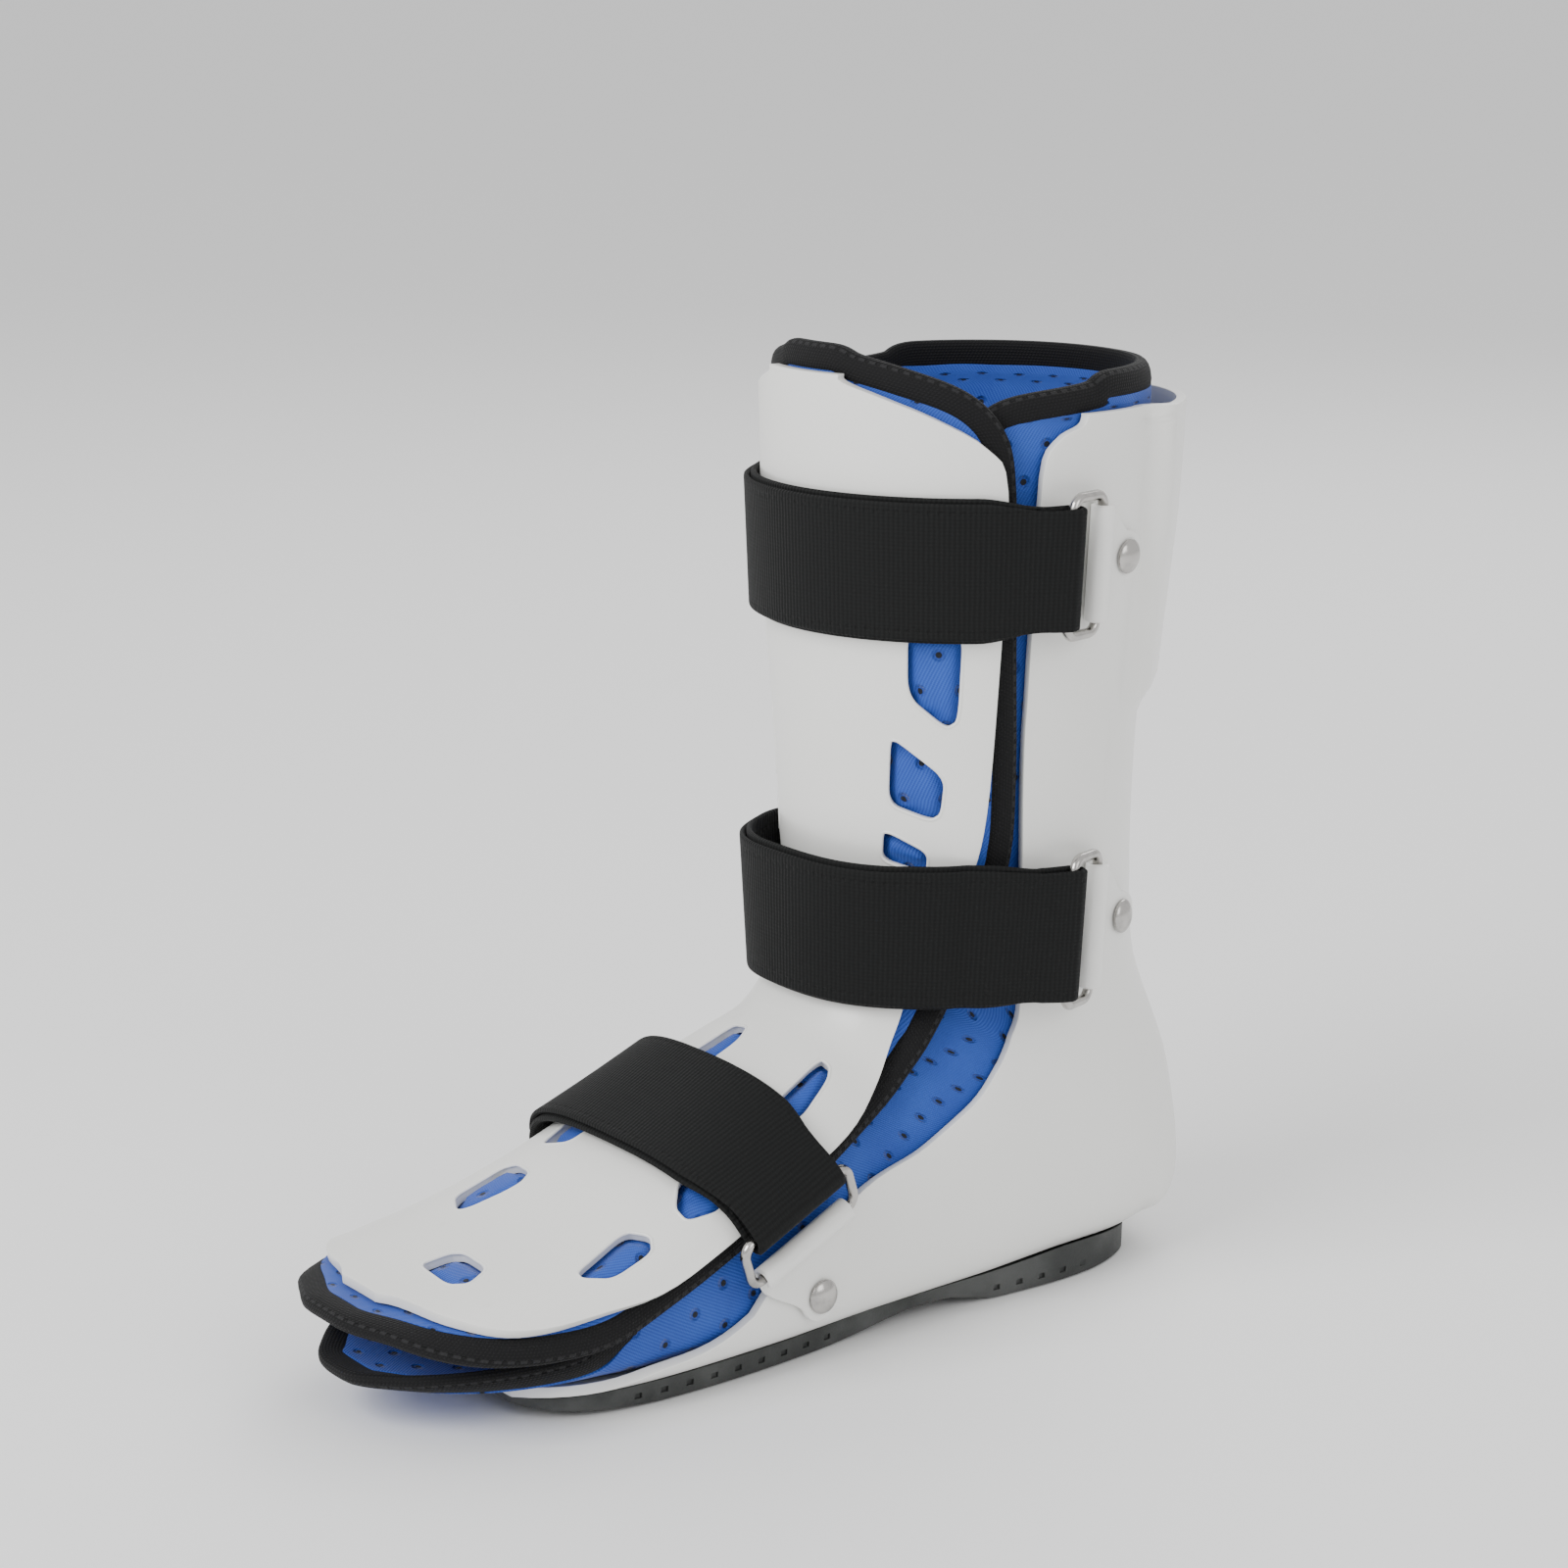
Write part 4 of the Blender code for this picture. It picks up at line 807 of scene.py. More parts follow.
@dataclass(frozen=True)
class RibbedWebbing:
    """Black napped webbing with fine cross ribs, painted shade in their valleys, and a stitched hem along
    each edge.
    """

    name: str = "webbing_black"
    pile: Colour = (0.0075, 0.008, 0.008, 1.0)
    # Darker black painted as shade in the rib valleys.
    valley_shade: Colour = (0.003, 0.0032, 0.0032, 1.0)
    rib: float = 0.0014
    half_width: float = 0.0195
    hem: float = 0.0026

    def material(self) -> bpy.types.Material:
        """Make the finish."""
        graph = Graph(self.name)
        along, across = graph.pattern()
        wobble = graph.math("MULTIPLY_ADD", graph.noise(300.0, 3.0), 0.0005, along)
        ribs = graph.ribs(wobble, self.rib)
        cord = graph.ribs(across, 0.0011)
        fuzz = graph.noise(1500.0, 4.0)
        cloth = graph.math("MULTIPLY_ADD", cord, 0.25, graph.math("MULTIPLY", ribs, 0.6))
        cloth = graph.math("MULTIPLY_ADD", fuzz, 0.3, cloth)
        # Painted shade: the rib valleys, which are also the bump's low parts, take the darker colour.
        graph.set(Base_Color=graph.blend(cloth, self.valley_shade, self.pile))
        edge = graph.math("SUBTRACT", self.half_width, graph.math("ABSOLUTE", across))
        off = graph.math("ABSOLUTE", graph.math("SUBTRACT", edge, self.hem))
        groove = graph.remap(off, 0.0002, 0.0008, 1.0, 0.0)
        stitch = graph.math("MULTIPLY", groove, graph.remap(graph.ribs(along, 0.003), 0.3, 0.55))
        graph.bump(graph.math("SUBTRACT", stitch, groove), 0.0005, 0.7)
        graph.bump(cloth, 0.0003, 0.8)
        graph.set(Roughness=graph.math("MULTIPLY_ADD", fuzz, 0.12, 0.74))
        graph.set(Sheen_Weight=0.02, Sheen_Roughness=0.5, Specular_IOR_Level=0.18)
        return graph.material


@dataclass(frozen=True)
class SoleRubber:
    """Dark grey rubber with a pebbled skin and random paler scuffed patches."""

    name: str = "sole_rubber"
    dark: Colour = (0.030, 0.032, 0.031, 1.0)
    worn: Colour = (0.075, 0.078, 0.076, 1.0)

    def material(self) -> bpy.types.Material:
        """Make the finish."""
        graph = Graph(self.name)
        cloud = graph.noise(45.0, 6.0)
        pebbles = graph.noise(1600.0, 2.0)
        graph.set(Base_Color=graph.blend(graph.remap(cloud, 0.35, 0.75), self.dark, self.worn))
        graph.set(Roughness=graph.math("MULTIPLY_ADD", pebbles, 0.2, 0.6))
        graph.set(Specular_IOR_Level=0.4)
        graph.bump(pebbles, 0.0002, 0.6)
        return graph.material


@dataclass(frozen=True)
class BrightNickel:
    """Polished nickel with fine handling marks."""

    name: str = "nickel_bright"
    clean: Colour = (0.50, 0.485, 0.465, 1.0)
    dull: Colour = (0.34, 0.33, 0.32, 1.0)

    def material(self) -> bpy.types.Material:
        """Make the finish."""
        graph = Graph(self.name)
        cloud = graph.noise(260.0, 5.0)
        lines = graph.noise(2600.0, 3.0, (1.0, 1.0, 0.1))
        graph.set(Base_Color=graph.blend(graph.remap(cloud, 0.4, 0.8), self.clean, self.dull))
        graph.set(Metallic=1.0, Roughness=graph.math("MULTIPLY_ADD", lines, 0.16, 0.13))
        graph.bump(lines, 0.00003, 0.4)
        return graph.material


@dataclass(frozen=True)
class StudioFloor:
    """Pale seamless paper."""

    name: str = "studio_floor"
    paper: Colour = (0.88, 0.88, 0.88, 1.0)

    def material(self) -> bpy.types.Material:
        """Make the finish."""
        graph = Graph(self.name)
        graph.set(Base_Color=self.paper, Roughness=0.8)
        graph.bump(graph.noise(80.0, 3.0), 0.0002, 0.2)
        return graph.material


# Shells and liners.
@dataclass
class Patch:
    """A stretch of the form between two edges that mirror each other, in millimetres."""

    half: Half
    stations: tuple[float, ...]
    spread: tuple[float, ...]
    side: tuple[Pair, ...]
    plan: tuple[Pair, ...]
    edge_level: float
    row_pieces: int = 4
    column_pieces: int = 4

    def __post_init__(self) -> None:
        """Work out where each row and column of the patch lies."""
        left = -(1.0 - np.array(self.spread))
        shares = finer_steps(tuple(left) + tuple(-left[-2::-1]), self.column_pieces)
        side = np.array(self.side)
        plan = np.array(self.plan)
        edges = [FORM.edge(place, self.edge_level, side, plan, self.half) for place in self.stations]
        reach = np.abs(np.array(edges) - self.half.value)
        line = smooth_line(tuple(zip(self.stations, reach)), self.row_pieces)
        self.places = line[:, 0]
        self.degrees = self.half.value + line[:, 1:] * shares[None, :]

    def grid(self, level: np.ndarray | float) -> np.ndarray:
        """Points of the patch at a level."""
        return FORM.points(self.places[:, None], self.degrees, level)

    def sheet(self, name: str, level: np.ndarray | float) -> bpy.types.Object:
        """Add the patch as an open sheet that faces outwards.

        Args:
            name: name of the new piece.
            level: level of the sheet, or one for each of its points.

        Returns:
            The new sheet, whose pattern is laid out from its middle line.
        """
        points = self.grid(level)
        middle = points.shape[1] // 2
        along = run_lengths(points, 1)
        along = along - along[:, middle : middle + 1]
        down = np.broadcast_to(run_lengths(points, 0).mean(axis=1)[:, None], along.shape)
        uv = np.stack([along, down], axis=-1) * MM
        row = points.shape[0] // 2
        corner = points[row, middle]
        across = points[row, middle + 1] - corner
        down = points[row + 1, middle] - corner
        inner = self.grid(np.asarray(level) - 5.0)[row, middle]
        if np.cross(across, down) @ (corner - inner) < 0.0:
            points = points[:, ::-1]
            uv = uv[:, ::-1]
        return grid_piece(name, points, uv)

    def rim(self, level: float) -> np.ndarray:
        """Points round the patch's rim at a level, in order."""
        grid = self.grid(level)
        return np.concatenate([grid[0], grid[1:, -1], grid[-1, -2::-1], grid[-2:0:-1, 0]])

    def inside_rim(self, level: float) -> np.ndarray:
        """Points one step in from each point of the rim."""
        grid = self.grid(level)
        rows, columns = grid.shape[:2]
        r = np.clip(np.arange(rows), 2, rows - 3)
        c = np.clip(np.arange(columns), 2, columns - 3)
        top = grid[2, c]
        right = grid[r[1:], columns - 3]
        bottom = grid[rows - 3, c[-2::-1]]
        left = grid[r[-2:0:-1], 2]
        return np.concatenate([top, right, bottom, left])


@dataclass
class RearShell:
    """The moulded shell behind the leg and under the foot, with its raised back panels."""

    patch: Patch
    level: float = REAR_SHELL_LEVEL
    wall: float = REAR_SHELL_WALL
    spine_half_angle: float = 60.0
    spine_step: float = 7.0
    spine_top: float = 6.5
    spine_end: float = 4.8
    spine_places: Pair = (2.25, 2.6)
    groove: float = 0.9
    groove_angle: float = 2.6
    heel_half_angle: float = 46.0
    heel_step: float = 12.0
    heel_raise: float = 1.5
    heel_start: Pair = (5.0, 6.0)
    heel_end: Pair = (7.7, 8.0)

    def raise_at(self) -> np.ndarray:
        """How far the back panels stand out at each point of the patch."""
        place = self.patch.places[:, None]
        from_back = np.abs(self.patch.degrees - 180.0)
        half = self.spine_step / 2
        spine = 1.0 - smooth_step(from_back, self.spine_half_angle - half, self.spine_half_angle + half)
        run = 1.0 - smooth_step(place, *self.spine_places)
        share = np.minimum(place / self.spine_places[0], 1.0)
        height = self.spine_top + (self.spine_end - self.spine_top) * share
        beside = (from_back - self.spine_half_angle - half) / self.groove_angle
        groove = self.groove * np.exp(-(beside**2)) * run
        half = self.heel_step / 2
        heel = 1.0 - smooth_step(from_back, self.heel_half_angle - half, self.heel_half_angle + half)
        heel = heel * smooth_step(place, *self.heel_start) * (1.0 - smooth_step(place, *self.heel_end))
        return spine * run * height - groove + heel * self.heel_raise

    def build(self, finish: bpy.types.Material) -> bpy.types.Object:
        """Model the shell and dress it."""
        piece = self.patch.sheet("rear_shell_moulding", self.level + self.raise_at())
        wall = self.wall * MM
        apply_modifier(piece, "SOLIDIFY", thickness=wall, offset=-1.0, use_even_offset=True)
        apply_modifier(piece, "BEVEL", width=wall * 0.32, segments=3, limit_method="ANGLE", angle_limit=0.9)
        smooth(piece, 60.0)
        return finish_piece(piece, finish, ("rear_shell",))


@dataclass
class FrontShell:
    """The moulded shell over the shin and instep, with its cut openings and their lips."""

    patch: Patch
    level: float = FRONT_SHELL_LEVEL
    wall: float = FRONT_SHELL_WALL
    lip: float = 0.55
    lip_sink: float = 0.55
    lip_sides: int = 8
    lip_step: float = 0.9
    cut_depth: float = 6.5
    leg_end_place: float = 4.4
    leg_steps: int = 221
    look_height: float = 0.3

    def outlines(self, tree: BVHTree) -> list[tuple[np.ndarray, np.ndarray]]:
        """Openings as points and normals on the shell's outer face.

        Args:
            tree: search tree of the outer face, in metres.

        Returns:
            One pair of points in millimetres and normals for each opening.
        """
        found = []
        leg = np.linspace(0.0, self.leg_end_place, self.leg_steps)
        heights = FORM.rows(leg)[:, 1]
        for _, corners in LEG_WINDOWS:
            outline = rounded_outline(corners)
            places = np.interp(-outline[:, 1], -heights, leg)
            for side in (1.0, -1.0):
                points = FORM.points(places, side * outline[:, 0], self.level)
                found.append((points, FORM.normals(places, side * outline[:, 0], self.level)))
        for _, corners in FOOT_WINDOWS:
            outline = rounded_outline(corners)
            starts = [Vector((x * MM, y * MM, self.look_height)) for x, y in outline]
            hits = [tree.ray_cast(start, Vector((0.0, 0.0, -1.0))) for start in starts]
            points = np.array([hit[0][:] for hit in hits]) / MM
            found.append((points, np.array([hit[1][:] for hit in hits])))
        return found

    def cutter(self, outlines: list[tuple[np.ndarray, np.ndarray]]) -> bpy.types.Object:
        """Make one prism for each opening, all in one mesh."""
        points: list[tuple[float, ...]] = []
        faces: list[tuple[int, ...]] = []
        for outline, normals in outlines:
            way = unit(normals.mean(axis=0)) * self.cut_depth
            start = len(points)
            count = len(outline)
            points += [tuple(p * MM) for p in np.concatenate([outline - way, outline + way])]
            faces.append(tuple(start + k for k in range(count)))
            faces.append(tuple(start + count + k for k in range(count - 1, -1, -1)))
            for k in range(count):
                after = (k + 1) % count
                faces.append((start + k, start + after, start + count + after, start + count + k))
        mesh = bpy.data.meshes.new("opening_prisms")
        mesh.from_pydata(points, [], faces)
        piece = bpy.data.objects.new("opening_prisms", mesh)
        bpy.context.scene.collection.objects.link(piece)
        close_tube(piece)
        return piece

    def build(self, finish: bpy.types.Material) -> list[tuple[np.ndarray, np.ndarray]]:
        """Model the shell, cut its openings, round their lips and dress it all.

        Args:
            finish: its material.

        Returns:
            Points and normals round each opening, on the outer face.
        """
        piece = self.patch.sheet("front_shell_moulding", self.level)
        graph = bpy.context.evaluated_depsgraph_get()
        tree = BVHTree.FromObject(piece, graph)
        outlines = self.outlines(tree)
        wall = self.wall * MM
        apply_modifier(piece, "SOLIDIFY", thickness=wall, offset=-1.0, use_even_offset=True)
        apply_modifier(piece, "BEVEL", width=wall * 0.32, segments=3, limit_method="ANGLE", angle_limit=0.9)
        cutter = self.cutter(outlines)
        apply_modifier(piece, "BOOLEAN", operation="DIFFERENCE", object=cutter)
        bpy.data.objects.remove(cutter, do_unlink=True)
        smooth(piece, 50.0)
        finish_piece(piece, finish, ("front_shell",))
        for k, (outline, normals) in enumerate(outlines):
            loop = even_loop(np.concatenate([outline, normals], axis=1), self.lip_step)
            centres = loop[:, :3]
            normal = unit(loop[:, 3:])
            outward = unit(np.cross(loop_tangents(centres), normal))
            section = circle_section(self.lip, self.lip_sides)
            loops = swept_loops(centres - normal * self.lip * self.lip_sink, outward, normal, section)
            lip = swept_piece(f"opening_lip_{k + 1}", loops, True)
            finish_piece(lip, finish)
        return outlines


@dataclass
class Liner:
    """A padded liner: cloth over foam that swells a little in each opening it fills."""

    name: str
    node: str
    patch: Patch
    levels: Pair
    fill: float = 0.8
    swell: float = 2.7
    swell_edge: Pair = (0.2, 3.4)
    dent: float = 0.12

    def level_at(self, outlines: list[tuple[np.ndarray, np.ndarray]]) -> np.ndarray:
        """Level of each point of the outer face, with soft dents and a rise inside each opening.

        Args:
            outlines: points and normals round each opening that it fills.

        Returns:
            One level for each point of the patch.
        """
        points = self.patch.grid(self.levels[1])
        x, y, z = points[..., 0], points[..., 1], points[..., 2]
        dents = np.sin(x * 0.21 + z * 0.13) * np.sin(y * 0.17 - z * 0.11) + 0.6 * np.sin(z * 0.43 + y * 0.29)
        level = self.levels[1] + self.dent * (dents - 1.0)
        for outline, normals in outlines:
            inside = depth_inside(points, outline, unit(normals.mean(axis=0)))
            level = level + self.swell * smooth_step(inside, *self.swell_edge)
        return level

    def build(
        self, finish: bpy.types.Material, outlines: list[tuple[np.ndarray, np.ndarray]]
    ) -> bpy.types.Object:
        """Model the liner and dress it.

        Args:
            finish: its material.
            outlines: points and normals round each opening that it fills.

        Returns:
            The finished liner.
        """
        piece = self.patch.sheet(self.name, self.level_at(outlines))
        thick = (self.levels[1] - self.levels[0]) * MM
        apply_modifier(piece, "SOLIDIFY", thickness=thick, offset=-1.0, use_even_offset=True)
        apply_modifier(piece, "BEVEL", width=thick * 0.3, segments=3, limit_method="ANGLE", angle_limit=0.9)
        smooth(piece, 60.0)
        finish_piece(piece, finish, (self.node,))
        return piece


@dataclass
class Binding:
    """A rounded knit tape folded round the edge of a liner."""

    name: str
    node: str
    patch: Patch
    levels: Pair
    curl_radius: float
    half_thick: float = 2.45
    reach: Pair = (-1.4, 7.6)
    sides: int = 18
    squareness: float = 2.7
    step: float = 2.0
    soften_rounds: int = 8

    def section(self) -> np.ndarray:
        """Pillow-shaped section, as outward and upward, curled with the liner."""
        angle = 2.0 * np.pi * np.arange(self.sides) / self.sides
        power = 2.0 / self.squareness
        out = np.sign(np.cos(angle)) * np.abs(np.cos(angle)) ** power
        up = np.sign(np.sin(angle)) * np.abs(np.sin(angle)) ** power
        out = (self.reach[0] + self.reach[1]) / 2 + out * (self.reach[1] - self.reach[0]) / 2
        curl = np.maximum(out, 0.0) ** 2 / (2.0 * self.curl_radius)
        return np.stack([out, up * self.half_thick - curl], axis=1)

    def build(self, finish: bpy.types.Material) -> bpy.types.Object:
        """Sweep the tape round the liner's rim and dress it."""
        middle = (self.levels[0] + self.levels[1]) / 2
        parts = [self.patch.rim(middle), self.patch.rim(self.levels[1]) - self.patch.rim(self.levels[0])]
        parts.append(self.patch.inside_rim(middle))
        loop = soften_loop(even_loop(np.concatenate(parts, axis=1), self.step), self.soften_rounds)
        centres = loop[:, :3]
        tangent = loop_tangents(centres)
        outward = unit(np.cross(tangent, loop[:, 3:6]))
        outward *= np.sign(np.sum(outward * (centres - loop[:, 6:9]), axis=1, keepdims=True))
        outward = unit(soften_loop(outward, 2))
        normal = loop[:, 3:6] - outward * np.sum(outward * loop[:, 3:6], axis=1, keepdims=True)
        piece = swept_piece(self.name, swept_loops(centres, outward, unit(normal), self.section()), True)
        return finish_piece(piece, finish, (self.node,))


# Straps with their rings, tabs and rivets.
class Band:
    """The line a strap follows round the splint, with its upward and width directions."""

    def __init__(
        self, origin: np.ndarray, way: np.ndarray, level: float, degrees: np.ndarray, places: np.ndarray,
        width: float,
    ) -> None:
        """Find the line where the strap's middle plane meets the form.

        Args:
            origin: a point of the middle plane.
            way: direction that the strap's width runs in.
            level: level of the surface that the strap lies on.
            degrees: angles at which the line is worked out.
            places: stretch of the form that the strap lies on.
            width: how wide the strap is.
        """
        self.degrees = degrees
        lines = FORM.points(places[None, :], degrees[:, None], level)
        distance = (lines - origin) @ way
        centres = []
        normals = []
        lifts = []
        for k, angle in enumerate(degrees):
            order = np.argsort(distance[k])
            middle = np.interp(0.0, distance[k][order], places[order])
            centre = FORM.points(middle, angle, level)
            normal = FORM.normals(np.array(middle), np.array(angle), level)
            spots = np.interp(np.array((-0.5, -0.25, 0.25, 0.5)) * width, distance[k][order], places[order])
            rise = (FORM.points(spots, angle, level) - centre) @ normal
            centres.append(centre)
            normals.append(normal)
            lifts.append(max(0.0, float(rise.max())))
        self.centres = np.array(centres)
        self.normals = np.array(normals)
        tangents = unit(np.gradient(self.centres, axis=0))
        self.normals -= tangents * np.sum(tangents * self.normals, axis=1, keepdims=True)
        self.normals = unit(self.normals)
        self.widths = np.cross(self.normals, tangents)
        self.widths *= np.sign(self.widths @ way)[:, None]
        self.centres = self.centres + self.normals * np.array(lifts)[:, None]
        steps = np.linalg.norm(np.diff(self.centres, axis=0), axis=1)
        self.lengths = np.concatenate([[0.0], np.cumsum(steps)])

    def length_at(self, degrees: float) -> float:
        """Distance along the band at an angle."""
        return float(np.interp(degrees, self.degrees, self.lengths))

    def frames(self, length: np.ndarray) -> tuple[np.ndarray, np.ndarray, np.ndarray]:
        """Centres, upward and width directions at distances along the band."""
        parts = []
        for values in (self.centres, self.normals, self.widths):
            axes = [np.interp(length, self.lengths, values[:, k]) for k in range(3)]
            parts.append(np.stack(axes, axis=-1))
        centre, normal, width = parts
        normal = unit(normal)
        width = unit(width - normal * np.sum(normal * width, axis=-1, keepdims=True))
        return centre, normal, width


@dataclass(frozen=True)
class StrapRow:
    """Where one strap, its ring, its tab and its rivets lie."""

    name: str
    origin: tuple[float, float, float]
    way: tuple[float, float, float]
    bar: float
    tab_bar: float
    rivet: float
    far: float
    clearance: float
    places: Pair
    width: float
    ring_width: float
    ring_height: float
    tab_width: float


STRAP_ROWS: tuple[StrapRow, ...] = (
    StrapRow(
        "shin", (0.0, 0.0, 225.5), (0.0, 0.0, 1.0), 80.5, 93.0, 106.0, -109.0, 0.9, (0.3, 6.9),
        41.5, 35.5, 43.0, 34.0,
    ),
    StrapRow(
        "ankle", (0.0, 0.0, 117.0), (0.0, 0.05, 1.0), 86.0, 98.5, 115.0, -112.0, 1.7, (2.0, 10.4),
        43.0, 39.5, 47.0, 37.5,
    ),
    StrapRow(
        "forefoot", (0.0, -102.0, 60.0), (0.0, 0.92, 0.40), 66.0, 80.0, 93.5, -98.0, 2.0, (9.0, 14.5),
        41.0, 35.0, 45.0, 35.0,
    ),
)


@dataclass
class StrapSet:
    """One webbing strap folded through its wire ring, with the tab and rivets that hold it."""

    row: StrapRow
    taper: Pair = (26.0, 6.0)
    thick: float = 1.8
    layer_gap: float = 0.3
    upper_narrower: float = 2.4
    fold_end: float = -62.0
    leave: float = 14.0
    dip_at: float = 7.0
    straight: float = 10.0
    dip: float = 1.6
    dip_share: float = 0.7
    upper_rise: float = 1.2
    far_clearance: float = 1.3
    run_off: Pair = (-66.0, -84.0)
    far_rivet: float = 9.0
    wire: float = 3.0
    wire_gap: float = 0.35
    ring_corner: float = 3.6
    tab_thick: float = 1.5
    tab_gap: float = 0.45
    tab_end: float = 7.5
    roll_angles: Pair = (35.0, 270.0)
    rivet_gap: float = 0.2
    step: float = 1.6
    band_margins: tuple[float, ...] = (6.0, 16.0, 12.0, 18.0)
    band_step: float = 1.5
    strap_edge: float = 0.9
    tab_edge: float = 0.45

    def __post_init__(self) -> None:
        """Lay out the bands and the two bars of the ring."""
        row = self.row
        origin = np.array(row.origin)
        way = unit(np.array(row.way))
        places = np.arange(row.places[0], row.places[1] + 0.025, 0.05)
        top = FRONT_SHELL_LEVEL
        low = REAR_SHELL_LEVEL
        before, past, tab_before, tab_past = self.band_margins
        angles = np.arange(row.far - before, row.bar + past, self.band_step)
        tab_angles = np.arange(row.bar - tab_before, row.rivet + tab_past, self.band_step)
        self.band = Band(origin, way, top, angles, places, row.width)
        self.tab_band = Band(origin, way, low, tab_angles, places, row.width)
        self.fold = self.wire / 2 + self.wire_gap + self.thick / 2
        self.roll = self.wire / 2 + self.wire_gap + self.tab_thick / 2
        self.tab_at = self.tab_band.length_at(row.tab_bar)
        self.tab_height = self.tab_gap + self.tab_thick / 2 + self.roll
        centre, normal, width = self.tab_band.frames(np.array(self.tab_at))
        self.rear_bar = centre + normal * self.tab_height
        self.ring_way = width
        self.under = row.clearance + self.thick / 2
        self.bar_at = self.band.length_at(row.bar)
        self.bar_height = self.under - self.dip + self.fold
        centre, normal, _ = self.band.frames(np.array(self.bar_at))
        self.front_bar = centre + normal * self.bar_height
        self.sink = low - top - row.clearance + self.far_clearance

    @staticmethod
    def turn(centre: Pair, radius: float, start: float, end: float, steps: int) -> list[Pair]:
        """Points along an arc of a side-on path."""
        angles = np.radians(np.linspace(start, end, steps + 1))
        return [(centre[0] + radius * math.cos(a), centre[1] + radius * math.sin(a)) for a in angles]

    def ribbon(
        self, name: str, band: Band, path: np.ndarray, thick: float, widths: np.ndarray, edge: float,
        straight_from: float,
    ) -> bpy.types.Object:
        """Sweep a flat strip along a path drawn along and above a band.

        Args:
            name: name of the new piece.
            band: the line that the strip follows.
            path: distances along and heights above the band.
            thick: thickness of the strip.
            widths: its width at each point of the path.
            edge: how far in from each side edge it starts to round off.
            straight_from: distance past which its width runs as the ring's does.

        Returns:
            The new strip.
        """
        run = unit(np.gradient(path, axis=0))
        side = np.stack([-run[:, 1], run[:, 0]], axis=1) * thick / 2
        runs = ((-1.0, -0.9, 5), (-0.75, 0.75, 9), (0.9, 1.0, 5))
        shares = np.concatenate([np.linspace(*run_of) for run_of in runs])
        from_edge = (1.0 - np.abs(shares))[None, :] * widths[:, None] / 2
        swell = np.sqrt(np.clip(1.0 - np.clip(1.0 - from_edge / edge, 0.0, 1.0) ** 2, 0.0, 1.0))
        loops = []
        for k, (at, height) in enumerate(path):
            way = self.ring_way if at > straight_from else None
            upper = [(share, swell[k, m]) for m, share in enumerate(shares)]
            lower = [(share, -swell[k, m]) for m, share in enumerate(shares)][-2:0:-1]
            loop = []
            for share, lift in upper + lower:
                length, up = path[k] + side[k] * lift
                centre, normal, width = band.frames(np.array(length))
                loop.append(centre + normal * up + (width if way is None else way) * share * widths[k] / 2)
            loops.append(loop)
        grid = np.array(loops)
        count = len(shares)
        closed = np.concatenate([grid, grid[:, :1]], axis=1)
        along = run_lengths(closed[:, count // 2], 0)
        across = np.concatenate([shares, shares[-2:0:-1], shares[:1]])[None, :] * widths[:, None] / 2
        uv = np.stack(np.broadcast_arrays(along[:, None], across), axis=-1) * MM
        piece = grid_piece(name, closed, uv)
        close_tube(piece)
        smooth(piece, 55.0)
        return piece

    def strap_path(self) -> np.ndarray:
        """Side-on path of the strap: under layer, fold round the bar, upper layer."""
        far_at = self.band.length_at(self.row.far)
        low, high = (self.band.length_at(angle) for angle in self.run_off)
        leave = self.bar_at - self.leave
        dip_at = self.bar_at - self.dip_at
        path: list[Pair] = [(at, self.under + self.sink) for at in np.linspace(far_at, high, 4)]
        path += [(at, self.under) for at in np.linspace(low, leave, 18)]
        path += [(dip_at, self.under - self.dip * self.dip_share)]
        path += self.turn((self.bar_at, self.bar_height), self.fold, -90.0, 90.0, 8)
        upper = self.under + self.thick + self.layer_gap
        path += [(dip_at, upper + self.upper_rise)]
        path += [(at, upper) for at in np.linspace(leave, self.band.length_at(self.fold_end), 18)]
        fine = smooth_line(tuple(path), 8)
        lengths = run_lengths(fine, 0)
        at = np.arange(0.0, lengths[-1], self.step)
        return np.stack([np.interp(at, lengths, fine[:, k]) for k in range(2)], axis=1)

    def build_strap(self, finish: bpy.types.Material) -> None:
        """Model the webbing and dress it."""
        path = self.strap_path()
        narrow = smooth_step(path[:, 0], self.bar_at - self.taper[0], self.bar_at - self.taper[1])
        widths = self.row.width - (self.row.width - self.row.ring_width) * narrow
        lengths = run_lengths(path, 0)
        folded = int(np.argmax(path[:, 0]))
        widths = widths - self.upper_narrower * smooth_step(lengths, lengths[folded], lengths[folded] + 30.0)
        straight = self.bar_at - self.straight
        piece = self.ribbon(
            f"{self.row.name}_webbing", self.band, path, self.thick, widths, self.strap_edge, straight
        )
        finish_piece(piece, finish, (f"{self.row.name}_strap",))

